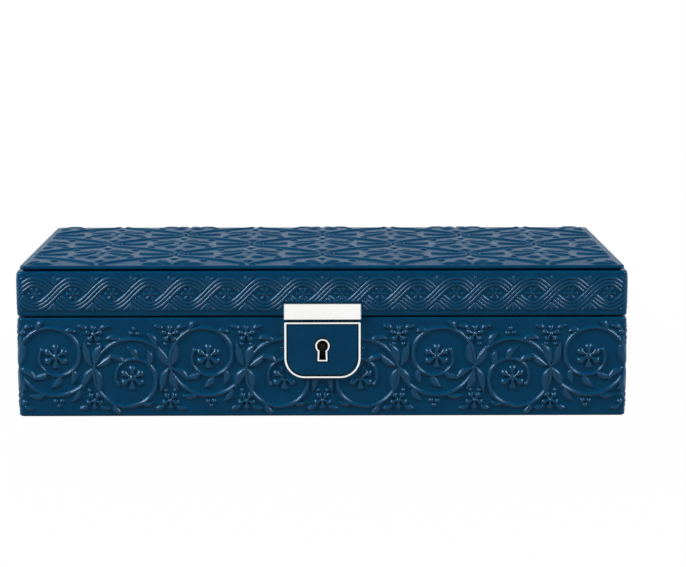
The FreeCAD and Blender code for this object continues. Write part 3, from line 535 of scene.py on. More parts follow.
LOBE = 37.5
LOBE_REACH = 34
SCROLL_RADIUS = 19.5
SCROLL_DROP = math.sqrt((2 * SCROLL_RADIUS) ** 2 - LOBE ** 2) / 2
SCROLL_TURN = math.degrees(math.atan2(2 * SCROLL_DROP, LOBE))
STEM_RUNS = (
    # radius or radii, first and last angle, points and half widths: over the top, then on round and in
    (SCROLL_RADIUS, 180 - SCROLL_TURN, SCROLL_TURN, 30, (0.8, 0.95, 0.8)),
    ((SCROLL_RADIUS, 13.8), SCROLL_TURN, -95, 24, (0.8, 0.9)),
    ((13.8, 9.4), -95, -270, 30, (0.9, 0.8)),
    ((9.4, 7.6), -270, -385, 20, (0.8, 0.45)),
)
SPRAYS = (
    # radius, angle, lean, length, fatness and sway of leaves between the stem and the coil
    (10.2, 142, -52, 7.4, 1.45, 0.25),
    (9.6, 104, -50, 7.6, 1.55, 0.25),
    (9.0, 64, -46, 7.6, 1.45, 0.25),
    # and outside the stem and under the branch
    (20.0, 126, -70, 7.4, 1.5, 0.2),
    (20.0, 74, -72, 7.4, 1.4, 0.2),
    (16.2, -56, -72, 6.0, 1.25, 0.2),
    (14.2, -112, -80, 5.0, 1.15, 0.2),
)
BERRIES = (
    # radius, angle and size
    (7.5, -386, 0.95),
    (14.7, 32, 0.95),
    (22.4, 97, 1.0),
    (22.4, 89, 1.0),
    (24.6, 93, 1.0),
)
SPLIT_LEAVES = (
    # stalk and tip from where the stem branches, fatness and sway
    ((-0.4, 1.2), (-4.2, 11.6), 1.9, -0.16),
    ((0.8, 0.6), (4.4, 12.4), 1.7, -0.16),
    ((-0.6, -1.0), (-2.6, -12.0), 1.7, -0.16),
    ((-1.2, 0.6), (-9.0, 6.8), 1.5, 0.22),
    ((0.8, -0.8), (5.6, -10.6), 1.6, 0.16),
)


def spray(centre, radius, angle, lean, length, fat, sway):
    """A leaf that springs from a circle and leans off its outward direction."""
    foot = on_circle(centre, radius, angle)
    return leaf(foot, on_circle(foot, length, angle + lean), fat, sway)


def scroll_lobe():
    """Strokes of one lobe, about its middle; the stem runs from left to right over the top."""
    centre = (0.0, -SCROLL_DROP)
    marks = rosette(centre, inner=2.0, outer=4.5, petals=6, fat=1.9, turn=30, height=FLOWER, boss=1.6)
    for radius, start, end, count, widths in STEM_RUNS:
        marks.append(stroke(arc(centre, radius, start, end, count), widths, STEM))
    for row in SPRAYS:
        marks.append(spray(centre, *row))
    for radius, angle, size in BERRIES:
        marks.append(berry(on_circle(centre, radius, angle), size, STEM))
    split = on_circle(centre, SCROLL_RADIUS, SCROLL_TURN)
    for stalk, tip, fat, sway in SPLIT_LEAVES:
        marks.append(leaf(split + stalk, split + tip, fat, sway))
    # a small blossom above and below the branching
    for up in (-1, 1):
        marks += rosette(split + (0, up * 16.6), inner=1.4, outer=3.0, petals=5, fat=1.5, turn=90 * up,
                         height=FLOWER, boss=1.1)
        for side in (-1, 1):
            marks.append(berry(split + (side * 2.3, up * 11.6), 0.9, STEM))
            stalk = split + (side * 3.4, up * 19.2)
            tip = split + (side * 7.6, up * 20.6)
            marks.append(leaf(stalk, tip, 1.1, 0.2 * side * up))
    return marks


def scroll(u, v, middle):
    """The running scroll at distance u from the middle of the front, and height v."""
    far = np.abs(u)
    out = np.zeros(u.shape)
    marks = scroll_lobe()
    for k in range(-1, int(far.max() / LOBE) + 2):
        up = 1 if k % 2 == 0 else -1
        stamp(out, far - (k + 0.5) * LOBE, up * (v - middle), marks, LOBE_REACH)
    return out


# The lid's sides: a braid of two bands with a flower in each eye

EYE = 18.75
EYE_REACH = 0.75 * EYE
BRAID_SWING = 6.1
BRAID_LINES = (-1.65, 0.0, 1.65)
BRAID_FAT = 0.85
BRAID_EDGE = BRAID_LINES[-1] + BRAID_FAT
UNDER_FADE = 0.7
EYE_FADE = 0.6


def band_lines(gap):
    """Fine ridges side by side."""
    out = np.zeros(gap.shape)
    for shift in BRAID_LINES:
        out = np.maximum(out, dome((gap - shift) / BRAID_FAT))
    return BRAID_LINE * out


def eye_marks():
    """A flower, and leaves in the corners beside a crossing, about an eye's middle."""
    marks = rosette((0, 0), inner=1.1, outer=2.7, petals=6, fat=1.05, turn=0, height=EYE_RISE, boss=0.95)
    for side in (-1, 1):
        edge = side * EYE / 2
        for up in (-1, 1):
            tip = (side * (EYE / 2 - 3.9), up * 8.2)
            marks.append(leaf((edge, up * 3.4), tip, 1.1, -0.2 * side * up, EYE_RISE))
            marks.append(leaf((edge, up * 3.6), (edge, up * 8.8), 1.2, 0, EYE_RISE))
    return marks


def braid(u, v, middle):
    """The braid at distance u from the middle of the front, and height v."""
    y = v - middle
    swing = BRAID_SWING * np.sin(np.pi * u / EYE)
    slope = BRAID_SWING * np.pi / EYE * np.cos(np.pi * u / EYE)
    lean = np.sqrt(1 + slope * slope)
    rising = (y - swing) / lean
    falling = (y + swing) / lean
    crossing = np.round(u / EYE).astype(int)
    rising_over = crossing % 2 == 0
    under = BRAID_EDGE + UNDER_FADE
    rising_shown = np.where(rising_over, 1, fade(BRAID_EDGE, under, np.abs(falling)))
    falling_shown = np.where(rising_over, fade(BRAID_EDGE, under, np.abs(rising)), 1)
    out = np.maximum(band_lines(rising) * rising_shown, band_lines(falling) * falling_shown)
    clear = fade(BRAID_EDGE, BRAID_EDGE + EYE_FADE, np.minimum(np.abs(rising), np.abs(falling)))
    eyes = np.zeros(u.shape)
    marks = eye_marks()
    for k in range(int(u.min() / EYE) - 2, int(u.max() / EYE) + 2):
        stamp(eyes, u - (k + 0.5) * EYE, y, marks, EYE_REACH)
    return np.maximum(out, clear * eyes)


# The top: a trellis of waving lines with a rosette in each cell

HALF_X = 37.0
HALF_Y = 36.5
SWELL = 0.8
TRELLIS_HALF = 2.2
KNOT_FADE = (6.6, 7.8)
CELL_MARGIN = 6


def lozenge_marks():
    """Strokes about the middle of a cell."""
    marks = rosette((0, 0), inner=5.0, outer=12.4, petals=8, fat=4.2, turn=22.5, height=TOP_LINE, boss=4.0)
    for way in (-1, 1):
        marks.append(leaf((18.5 * way, 0), (30.5 * way, 0), 3.0, 0, TOP_LINE))
        marks.append(leaf((0, 16.5 * way), (0, 26.0 * way), 2.5, 0, TOP_LINE))
        for side in (-1, 1):
            marks.append(berry((15.0 * side, 13.0 * way), 2.0, TOP_LINE))
    # a flower on the joint of the lines at the right
    marks += rosette((HALF_X, 0), inner=2.4, outer=5.2, petals=6, fat=2.1, turn=0, height=TOP_LINE, boss=2.0)
    return marks


def swell(x, y):
    """The padding's gentle rise in each cell."""
    return SWELL / 2 * (1 + np.cos(np.pi * x / HALF_X) * np.cos(np.pi * y / HALF_Y))


def from_node(x, pitch, odd):
    """Distance from the nearest even multiple of the pitch, or odd one where odd is 1."""
    turns = x / pitch
    return (turns - 2 * np.round(turns / 2 + odd / 2) + odd) * pitch


def lattice(x, y):
    """The trellis over the top, about its middle."""
    out = np.zeros(x.shape)
    swing = HALF_X / 2 * np.cos(np.pi * y / HALF_Y)
    slope = HALF_X / 2 * np.pi / HALF_Y * np.sin(np.pi * y / HALF_Y)
    lean = np.sqrt(1 + slope * slope)
    reach = int(np.abs(x).max() / HALF_X) + 2
    for k in range(-reach, reach):
        side = 1 if k % 2 == 0 else -1
        gap = np.abs(x - HALF_X * (k + 0.5) - side * swing) / lean
        out = np.maximum(out, TOP_LINE * dome(gap / TRELLIS_HALF))
    knots = [np.hypot(from_node(x, HALF_X, odd), from_node(y, HALF_Y, 1 - odd)) for odd in (0, 1)]
    out *= fade(*KNOT_FADE, np.minimum(*knots))
    marks = lozenge_marks()
    tiers = int(np.abs(y).max() / HALF_Y) + 2
    for i in range(-reach, reach + 1):
        for j in range(-tiers, tiers + 1):
            if (i + j) % 2 == 0:
                stamp(out, x - i * HALF_X, y - j * HALF_Y, marks, HALF_X + CELL_MARGIN, HALF_Y + CELL_MARGIN)
    return out


# Leather skins: the embossed leather that shows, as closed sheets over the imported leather

HALF_WIDTH = 150.0
HALF_DEPTH = 75.0
CORNER = 3.0
SIDES = (("left", -1), ("right", 1))
# the skins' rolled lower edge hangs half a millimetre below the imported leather
FOOT = 0.3
BASE_RIM = 49.8
LID_RIM = 50.4
LID_HEAD = 72.6
PROUD = 0.03
EDGE_ROUND = 1.15
SKIN_DEPTH = 1.2
TUCK = 0.25
ROUND_STEPS = 5
FRONT_STEP = 0.4
LID_FRONT_STEP = 0.3
SIDE_STEP = 0.5
FRONT_END = HALF_WIDTH + 2 * CORNER
SIDE_END = HALF_WIDTH + 2 * HALF_DEPTH - 2 * CORNER
BACK_END = 2 * HALF_WIDTH + 2 * HALF_DEPTH
SCROLL_MIDDLE = 25.0
BRAID_MIDDLE = 61.6
PLATE_HALF = 19.0
PLATE_LOW = 19.7
BAR_HIGH = 57.2
HIDDEN_HALF = 17.0
HIDDEN_LOW = 21.0
HIDDEN_HIGH = 47.4
BASE_BACK_HEAD = 46.6
LID_BACK_FOOT = 53.5
# distances from an edge at which the relief begins and is full
LOW_FADE = (1.0, 2.2)
HIGH_FADE = (1.2, 2.4)
CUT_FADE = (0.3, 1.5)
FITTING_FADE = (0.1, 0.9)
# the relief's share on an upright corner, and where it begins and ends to rise beside it
CORNER_SHARE = 0.25
CORNER_FLAT = 0.5
FRONT_RISE = 4.0
SIDE_RISE = 9.0
# the strip of a baked picture that holds a skin's back, and how much of the strip it fills
STRIP = 0.05
STRIP_FILL = 0.8


def wall(u, out):
    """Place on the case's outline: u along it from the middle of the front, out from the leather's face."""
    far = np.abs(u)
    flat_x = HALF_WIDTH - CORNER
    flat_y = HALF_DEPTH - CORNER
    rear = HALF_WIDTH + 2 * HALF_DEPTH
    turn = -90 + 90 * np.clip((far - flat_x) / (2 * CORNER), 0, 1)
    turn = np.radians(turn + 90 * np.clip((far - rear + CORNER) / (2 * CORNER), 0, 1))
    middle_x = np.minimum(far, flat_x) - np.clip(far - rear - CORNER, 0, None)
    middle_y = -flat_y + np.clip(far - HALF_WIDTH - CORNER, 0, 2 * flat_y)
    x = middle_x + (CORNER + out) * np.cos(turn)
    y = middle_y + (CORNER + out) * np.sin(turn)
    return np.where(u < 0, -x, x), y


def rows(low, high, step, round_low=True, round_high=True):
    """A skin's section from foot to head, as distances out from the leather's face and heights."""
    drop = EDGE_ROUND - PROUD
    flat_low = low + drop * round_low
    flat_high = high - drop * round_high
    count = int((flat_high - flat_low) / step) + 2
    section = [(PROUD, z) for z in np.linspace(flat_low, flat_high, count)]
    if round_low:
        section = [*arc((-drop, flat_low), EDGE_ROUND, -90, 0, ROUND_STEPS)[:-1], *section]
    if round_high:
        section += [*arc((-drop, flat_high), EDGE_ROUND, 0, 90, ROUND_STEPS)[1:]]
    out, z = np.array(section).T
    return out, z


def closed_sheet(name, front, inner, normal, relief, tallest):
    """A closed mesh: a grid for the front, skirts round it, and long strips for its back."""
    high, wide = relief.shape
    grid = np.arange(high * wide).reshape(high, wide)
    border = np.ones((high, wide), bool)
    border[1:-1, 1:-1] = False
    behind = np.full((high, wide), -1)
    behind[border] = high * wide + np.arange(border.sum())
    shown = np.dstack([grid[:-1, :-1], grid[:-1, 1:], grid[1:, 1:], grid[1:, :-1]]).reshape(-1, 4)
    faces = shown.tolist()
    edge = np.concatenate([grid[0, :-1], grid[:-1, -1], grid[-1, :0:-1], grid[:0:-1, 0]])
    for a, b in zip(edge, np.roll(edge, -1)):
        faces.append([b, a, behind.flat[a], behind.flat[b]])
    for c in range(1, wide - 2):
        faces.append([behind[0, c], behind[-1, c], behind[-1, c + 1], behind[0, c + 1]])
    faces.append([*behind[:, 0], behind[-1, 1], behind[0, 1]])
    faces.append([behind[0, -2], behind[-1, -2], *behind[::-1, -1]])
    points = np.concatenate([front.reshape(-1, 3), inner[border]])
    mesh = mesh_from(name, points, faces)
    # the front fills most of the baked picture, and the rest a strip under it
    across, up = np.meshgrid(np.linspace(0, 1, wide), np.linspace(0, 1, high))
    spots = np.dstack([across, up])
    place = np.concatenate([spots.reshape(-1, 2), spots[border]])
    corners = np.zeros(len(mesh.loops), np.int32)
    mesh.loops.foreach_get("vertex_index", corners)
    uv = place[corners]
    split = shown.size
    uv[:split, 1] = STRIP + (1 - STRIP) * uv[:split, 1]
    uv[split:, 1] *= STRIP * STRIP_FILL
    mesh.uv_layers.new(name="OFBake").data.foreach_set("uv", uv.astype(np.float32).ravel())
    # the crest share sets the coat, and the painted highlight that colours the ridges lighter
    crest = np.clip(np.concatenate([relief.ravel(), np.zeros(border.sum())]) / tallest, 0, 1)
    mesh.attributes.new("crest", "FLOAT", "POINT").data.foreach_set("value", crest.astype(np.float32))
    normal = normal / np.linalg.norm(normal, axis=2, keepdims=True)
    normals = np.concatenate([normal.reshape(-1, 3), -normal[border]])
    mesh.normals_split_custom_set_from_vertices(normals.tolist())
    return mesh


def spaced(start, end, count):
    """Even places from start to end, and one more past each end."""
    places = np.linspace(start, end, count)
    reach = places[1] - places[0]
    return np.concatenate([[start - reach], places, [end + reach]])


def add_skin(name, body, front, inner, relief, tallest):
    """A skin of spaced columns; the outermost only let its normals meet those of the next skin."""
    normal = np.cross(np.gradient(front, axis=1), np.gradient(front, axis=0))
    grids = [grid[:, 1:-1] for grid in (front, inner, normal, relief)]
    add_piece(closed_sheet(name, *grids, tallest), body, "navy_leather")


def wall_skin(name, body, start, end, step, section, relief):
    """A skin on the case's sides from start to end along the outline."""
    out, z = section
    u = spaced(start, end, int(round((end - start) / step)) + 1)
    grid_u, grid_z = np.meshgrid(u, z)
    height = relief(grid_u, grid_z)
    front = np.dstack([*wall(grid_u, out[:, None] + height), grid_z])
    inner_z = np.interp(grid_z, (z[0], z[-1]), (z[0] + TUCK, z[-1] - TUCK))
    inner = np.dstack([*wall(grid_u, np.full(grid_u.shape, -SKIN_DEPTH)), inner_z])
    add_skin(name, body, front, inner, height, STEM if body == "base" else BRAID_LINE)


def off_fittings(u, z, low, high):
    """0 under the lock's plate or the hasp's bar, and 1 away from it."""
    gap = np.maximum(np.maximum(np.abs(u) - PLATE_HALF, low - z), z - high)
    return fade(*FITTING_FADE, gap)


def off_corners(u):
    """Lower relief on the upright corners, where the leather is stretched, and next to them on the sides."""
    far = np.abs(u)
    gap = np.minimum(np.abs(far - HALF_WIDTH), np.abs(far - HALF_WIDTH - 2 * HALF_DEPTH))
    reach = np.where(far > HALF_WIDTH, SIDE_RISE, FRONT_RISE)
    return CORNER_SHARE + (1 - CORNER_SHARE) * fade(CORNER_FLAT, reach, gap)


def off_edges(z, low, high):
    """0 on a skin's lower and upper edge, and 1 between them."""
    return fade(*LOW_FADE, z - low) * fade(*HIGH_FADE, high - z)


def base_relief(u, z):
    """The base's relief at u along the outline and height z; the next three are alike."""
    shown = off_edges(z, FOOT, BASE_RIM) * off_corners(u) * off_fittings(u, z, PLATE_LOW, BASE_RIM)
    return scroll(u, z, SCROLL_MIDDLE) * shown


def base_back_relief(u, z):
    return base_relief(u, z) * fade(*CUT_FADE, BASE_BACK_HEAD - z)


def lid_relief(u, z):
    shown = off_edges(z, LID_RIM, LID_HEAD) * off_corners(u) * off_fittings(u, z, LID_RIM, BAR_HIGH)
    return braid(u, z, BRAID_MIDDLE) * shown


def lid_back_relief(u, z):
    return lid_relief(u, z) * fade(*CUT_FADE, z - LID_BACK_FOOT)


def add_walls():
    """The skins round the base and the lid; the plate hides a gap in the middle of the front."""
    front = rows(FOOT, BASE_RIM, FRONT_STEP)
    side = rows(FOOT, BASE_RIM, SIDE_STEP)
    back = rows(FOOT, BASE_BACK_HEAD, SIDE_STEP, round_high=False)
    below = rows(FOOT, HIDDEN_LOW, FRONT_STEP, round_high=False)
    above = rows(HIDDEN_HIGH, BASE_RIM, FRONT_STEP, round_low=False)
    lid_front = rows(LID_RIM, LID_HEAD, LID_FRONT_STEP)
    lid_side = rows(LID_RIM, LID_HEAD, SIDE_STEP)
    lid_back = rows(LID_BACK_FOOT, LID_HEAD, SIDE_STEP, round_low=False)
    wall_skin("base_skin_front_low", "base", -HIDDEN_HALF, HIDDEN_HALF, FRONT_STEP, below, base_relief)
    wall_skin("base_skin_front_top", "base", -HIDDEN_HALF, HIDDEN_HALF, FRONT_STEP, above, base_relief)
    wall_skin("lid_skin_front", "lid", -FRONT_END, FRONT_END, LID_FRONT_STEP, lid_front, lid_relief)
    for side_name, sign in SIDES:
        for place, start, end, step, base_rows, base_lift, lid_rows, lid_lift in (
            ("front", HIDDEN_HALF, FRONT_END, FRONT_STEP, front, base_relief, None, None),
            ("side", FRONT_END, SIDE_END, SIDE_STEP, side, base_relief, lid_side, lid_relief),
            ("back", SIDE_END, BACK_END, SIDE_STEP, back, base_back_relief, lid_back, lid_back_relief),
        ):
            ends = sorted((sign * start, sign * end))
            wall_skin(f"base_skin_{place}_{side_name}", "base", *ends, step, base_rows, base_lift)
            if lid_rows:
                wall_skin(f"lid_skin_{place}_{side_name}", "lid", *ends, step, lid_rows, lid_lift)


# The padded top panel

PANEL_X = 148.5
PANEL_Y = 73.1
PANEL_CORNER = 2.4
PANEL_FOOT = 73.3
PANEL_HEAD = 75.3
PANEL_BULGE = 1.2
PANEL_SQUARE = 2.4
CROWN = 0.35
PANEL_MARGIN = 2.0
PANEL_STEP = 0.5
PANEL_INSETS = (3, 6, 12, 20, 30, 42, 54, 66, 72.5)
PANEL_CREST = 1.7 * TOP_LINE
# distances from the panel's edge at which the relief and the swelling begin and are full
PANEL_FADE = (0.2, 2.6)
SWELL_FADE = (0.2, 9.0)
TOP_DEPTH = 0.7
OUTLINE_STEP = 4.0


def subdivided(points, step):
    """Closed outline with points at most a step apart."""
    out = []
    for a, b in zip(points, np.roll(points, -1, axis=0)):
        count = max(1, int(math.ceil(np.linalg.norm(b - a) / step)))
        out += [a + (b - a) * n / count for n in range(count)]
    return np.array(out)


def inset_outline(half_x, half_y, radius, inset):
    """An oblong with rounded corners drawn in by inset, with equally many points for each inset."""
    points = []
    for sign_x, sign_y, start in ((1, 1, 0), (-1, 1, 90), (-1, -1, 180), (1, -1, 270)):
        middle = (sign_x * (half_x - radius), sign_y * (half_y - radius))
        points += list(arc(middle, radius, start, start + 90, count=8))
    scale = np.array([(half_x - inset) / half_x, (half_y - inset) / half_y])
    return subdivided(np.array(points), OUTLINE_STEP) * scale


def crown(x, y):
    """The panel's rise towards its middle."""
    return CROWN * (1 - (x / PANEL_X) ** 2) * (1 - (y / PANEL_Y) ** 2)


def loft_faces(count, levels, first=0):
    """Faces of a closed shape through rings of count points, numbered from first."""
    faces = [[first + n for n in range(count)][::-1]]
    for k in range(levels - 1):
        a = first + k * count
        for n in range(count):
            m = (n + 1) % count
            faces.append([a + n, a + m, a + count + m, a + count + n])
    faces.append([first + (levels - 1) * count + n for n in range(count)])
    return faces


def loft(name, rings):
    """A closed mesh through rings that have equally many points."""
    return mesh_from(name, np.concatenate(rings), loft_faces(len(rings[0]), len(rings)))


def panel_ring(inset, z):
    """The panel's outline, smaller by inset, at height z over which the crown rises."""
    flat = inset_outline(PANEL_X, PANEL_Y, PANEL_CORNER, inset)
    return np.column_stack([flat, z + crown(flat[:, 0], flat[:, 1])])


def add_panel():
    """A cushion with a bulging edge, and two embossed skins over its top."""
    middle = (PANEL_FOOT + PANEL_HEAD) / 2
    half = (PANEL_HEAD - PANEL_FOOT) / 2
    rings = []
    for turn in np.radians(np.linspace(-90, 90, num=17)):
        inset = PANEL_BULGE * (1 - math.cos(turn) ** (2 / PANEL_SQUARE))
        rise = math.copysign(abs(math.sin(turn)) ** (2 / PANEL_SQUARE), turn)
        rings.append(panel_ring(inset, middle + half * rise))
    for inset in PANEL_INSETS:
        rings.append(panel_ring(inset, PANEL_HEAD))
    cushion = add_piece(loft("panel_cushion", rings), "lid", "navy_leather")
    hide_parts("panel_leather", "panel_foam")
    edge_x = PANEL_X - PANEL_MARGIN
    edge_y = PANEL_Y - PANEL_MARGIN
    for side_name, sign in SIDES:
        x = spaced(*sorted((0.0, sign * edge_x)), int(edge_x / PANEL_STEP) + 1)
        y = np.linspace(-edge_y, edge_y, int(2 * edge_y / PANEL_STEP) + 1)
        grid_x, grid_y = np.meshgrid(x, y)
        margin = np.minimum(edge_x - np.abs(grid_x), edge_y - np.abs(grid_y))
        height = lattice(grid_x, grid_y) * fade(*PANEL_FADE, margin)
        ground = PANEL_HEAD + crown(grid_x, grid_y) + swell(grid_x, grid_y) * fade(*SWELL_FADE, margin)
        front = np.dstack([grid_x, grid_y, ground + PROUD + height])
        inner = np.dstack([grid_x, grid_y, ground - TOP_DEPTH])
        add_skin(f"panel_skin_{side_name}", "lid", front, inner, height, PANEL_CREST)


# Padded ring rolls, blown up by a short cloth simulation, and the bed that they stand on

TRAY_MIDDLE = -94.0
TRAY_HALF_X = 43.8
TRAY_HALF_Y = 62.8
TRAY_FLOOR = 8.3
BED_TOP = 22.3
ROLLS = 8
ROLL_PITCH = 15.75
ROLL_HALF = 6.9
ROLL_SIDE = 6.5
ROLL_CROWN = 6.6
ROLL_ROUND = 3.5
ROLL_RINGS = 56
ROLL_SIDE_POINTS = (5.2, 3.9, 2.6, 1.3)
ROLL_FOOT_ROUND = ((0.2, 0.35), (0.7, 0.0))
ROLL_FOOT_HALF = 4.6
# room at a roll's ends, how rings crowd there, and how much of the section is left
ROLL_PLAY = 0.5
ROLL_CROWDING = 1.25
ROLL_END = 0.72
HELD_UNDER = 0.05
BED_CORNER = 3.0
# inset and height of the bed's rings
BED_EDGE = ((0.6, 0.0), (0.0, 0.6), (0.0, 5.0), (0.0, 12.4), (0.35, 13.4), (1.2, 13.9), (4.0, 14.0))
SIM_SCALE = 10
SIM_FRAMES = 20
SIM_PRESSURE = 4.0
SIM_CAP = 0.75


def roll_section():
    """Outline of a roll's section, with a flat foot: across, and up from the bed."""
    top = arc((0, ROLL_SIDE), 1.0, 0, 180, count=25)
    top = np.column_stack([top[:, 0] * ROLL_HALF, ROLL_SIDE + (top[:, 1] - ROLL_SIDE) * ROLL_CROWN])
    left = [(-ROLL_HALF, z) for z in ROLL_SIDE_POINTS]
    left += [(-ROLL_HALF + y, z) for y, z in ROLL_FOOT_ROUND]
    foot = [(y, 0.0) for y in np.linspace(-ROLL_FOOT_HALF, ROLL_FOOT_HALF, num=7)]
    right = [(-y, z) for y, z in reversed(left)]
    return np.array([*top, *left, *foot, *right])


def roll_mesh():
    """A roll along x, rounded at its ends."""
    section = roll_section()
    half = TRAY_HALF_X - ROLL_PLAY
    turns = np.linspace(-1, 1, ROLL_RINGS)
    rings = []
    for place in np.sign(turns) * (1 - (1 - np.abs(turns)) ** ROLL_CROWDING) * half:
        near = np.clip((half - abs(place)) / ROLL_ROUND, 0, 1)
        scale = ROLL_END + (1 - ROLL_END) * math.sqrt(1 - (1 - near) ** 2)
        rings.append(np.column_stack([np.full(len(section), place), section * scale]))
    return loft("ring_roll", rings)


def puff(mesh, held):
    """Swells the mesh in a cloth simulation with inner pressure; the held points stay where they are."""
    start = np.zeros(len(mesh.vertices) * 3)
    mesh.vertices.foreach_get("co", start)
    mesh.vertices.foreach_set("co", start * SIM_SCALE)
    pad = placed("pad", mesh)
    pad.vertex_groups.new(name="held").add(held.tolist(), 1.0, "REPLACE")
    cloth = pad.modifiers.new("cloth", "CLOTH")
    cloth.settings.use_pressure = True
    cloth.settings.uniform_pressure_force = SIM_PRESSURE
    cloth.settings.effector_weights.gravity = 0
    cloth.settings.vertex_group_mass = "held"
    cloth.point_cache.frame_end = SIM_FRAMES
    for frame_number in range(1, SIM_FRAMES + 1):
        scene.frame_set(frame_number)
    blown = pad.evaluated_get(bpy.context.evaluated_depsgraph_get())
    end = np.zeros(len(start))
    blown.data.vertices.foreach_get("co", end)
    scene.frame_set(1)
    bpy.data.objects.remove(pad)
    moved = (end / SIM_SCALE - start).reshape(-1, 3)
    length = np.linalg.norm(moved, axis=1, keepdims=True)
    moved *= np.minimum(1, SIM_CAP * MM / np.maximum(length, TINY))
    mesh.vertices.foreach_set("co", start + moved.ravel())
    mesh.update()


def add_ring_pads():
    """The rolls side by side: one mesh for all, every second turned round."""
    mesh = roll_mesh()
    heights = np.array([point.co.z for point in mesh.vertices])
    puff(mesh, np.flatnonzero(heights < HELD_UNDER * MM))
    mesh.materials.append(materials["ring_pad"])
    for number in range(ROLLS):
        roll = placed(f"ring_pad_{number + 1}", mesh)
        across = (number - (ROLLS - 1) / 2) * ROLL_PITCH
        roll.location = Vector((TRAY_MIDDLE, across, BED_TOP)) * MM
        roll.rotation_euler = (0, 0, math.pi * (number % 2))
        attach(roll, "base")
        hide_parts(f"ring_roll_{number + 1}")


def add_bed():
    """The foam bed, with edges rounded by its cover."""
    rings = []
    for inset, z in BED_EDGE:
        flat = inset_outline(TRAY_HALF_X, TRAY_HALF_Y, BED_CORNER, inset) + (TRAY_MIDDLE, 0)
        rings.append(np.column_stack([flat, np.full(len(flat), TRAY_FLOOR + z)]))
    bed = add_piece(loft("ring_bed_pad", rings), "base", "ring_pad")
    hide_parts("ring_bed")


# Slotted screws in the hinges, the lock and the staple

SCREW_SIDES = 24
SLOT_HALF = 0.2
SLOT_DEEP = 0.4
HEAD_BEVEL = 0.12
HEAD_EDGE = 0.1
POINT_RADIUS = 0.3
POINT_LENGTH = 0.8
NECK_DEPTH = 1.0
# how far the first screw's slot is turned, and each next one more
FIRST_TURN = 20
NEXT_TURN = 67
HINGE_SCREWS = [(-105.65, 68.55), (-84.35, 68.55), (84.35, 68.55), (105.65, 68.55)]
LOCK_SCREWS = [(-14.5, -70.2), (14.5, -70.2)]
STAPLE_SCREWS = [(-5.5, -70.7), (5.5, -70.7)]
SCREWS = (
    # name, body, places, level and way up of heads, radius of head and shank, length and node replaced
    ("base_hinge_screw_heads", "base", HINGE_SCREWS, BASE_RIM, 1, 1.5, 0.75, 7.0, "base_hinge_screws"),
    ("lid_hinge_screw_heads", "lid", HINGE_SCREWS, LID_RIM, -1, 1.5, 0.75, 7.0, "lid_hinge_screws"),
    ("lock_screws", "base", LOCK_SCREWS, 50.02, 1, 1.4, 0.7, 5.0, None),
    ("staple_screws", "lid", STAPLE_SCREWS, 50.18, -1, 1.3, 0.65, 5.0, None),
)


def half_head(radius, side):
    """Outline of the half of a screw head on one side of its slot."""
    reach = math.degrees(math.asin(SLOT_HALF / radius))
    return side * arc((0, 0), radius, reach, 180 - reach, SCREW_SIDES // 2 + 1)


def screw_parts(radius, shank, length):
    """Rings of the closed parts of a screw whose head is at z 0 and points up."""
    parts = []
    for side in (-1, 1):
        rim = half_head(radius, side)
        inner = half_head(radius - HEAD_BEVEL, side)
        parts.append([(rim, -SLOT_DEEP), (rim, -HEAD_EDGE), (inner, 0.0)])
    ring = arc((0, 0), 1.0, 0, 360 - 360 / SCREW_SIDES, SCREW_SIDES)
    taper = POINT_LENGTH - length
    sizes = ((POINT_RADIUS, -length), (shank, taper), (shank, -NECK_DEPTH), (radius, -SLOT_DEEP))
    parts.append([(ring * size, z) for size, z in sizes])
    return parts


def add_screws(name, body, places, level, up, radius, shank, length, node):
    """Screws at places, each with its slot turned its own way; up is 1 or -1."""
    points = []
    faces = []
    for number, (x, y) in enumerate(places):
        turn = math.radians(FIRST_TURN + NEXT_TURN * number)
        spin = np.array([[math.cos(turn), math.sin(turn)], [-math.sin(turn), math.cos(turn)]])
        for rings in screw_parts(radius, shank, length):
            faces += loft_faces(len(rings[0][0]), len(rings), len(points))
            for flat, z in rings:
                points += [(x + px, y + py * up, level + up * z) for px, py in flat @ spin]
    screws = add_piece(mesh_from(name, points, faces, flat=True), body, "steel")
    if node:
        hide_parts(node)


# The lock's front: a polished frame and a keyhole collar round a leather field

SHIELD_HALF = 18.75
SHIELD_LOW = 19.9
SHIELD_TOP = 47.9
SHIELD_ROUND = 10.0
SHIELD_NIP = 0.6
LEAST_NIP = 0.05
SHIELD_RIM = 1.0
SHIELD_BACK = 0.1
SHIELD_OUT = 2.2
KEY_HEIGHT = 36.0
KEY_FOOT = 29.15
KEY_RADIUS = 2.7
KEY_NECK = 1.45
KEY_FLARE = 1.65
KEY_RIM = 0.85
METAL_SOFT = 0.2
METAL_SLIP = METAL_SOFT * 0.3
FIELD_FLOOR = 0.7
FIELD_OUT = 2.06
GROOVE_WIDTH = 0.6
FIELD_SOFT = 0.08
CLEARANCE = 0.02
# edges that turn by fewer degrees are shaded smooth
SMOOTH_UNDER = 15


def shield_outline(inset):
    """The shield's outline, drawn in all round, with equally many points for each inset."""
    half = SHIELD_HALF - inset
    low = SHIELD_LOW + inset
    high = SHIELD_TOP - inset
    radius = SHIELD_ROUND - inset
    nip = max(SHIELD_NIP - inset, LEAST_NIP)
    lower = arc((half - radius, low + radius), radius, -90, 0, count=20)
    right = np.concatenate([lower, arc((half - nip, high - nip), nip, 0, 90, count=6)])
    return np.concatenate([right, right[::-1] * (-1, 1)])


def key_outline(grow):
    """The keyhole's outline, grown all round: a round head on a flaring slot."""
    radius = KEY_RADIUS + grow
    lean = math.degrees(math.asin((KEY_NECK + grow) / radius))
    foot = [(-KEY_FLARE - grow, KEY_FOOT - grow), (KEY_FLARE + grow, KEY_FOOT - grow)]
    return np.concatenate([arc((0, KEY_HEIGHT), radius, lean - 90, 270 - lean, count=40), foot])


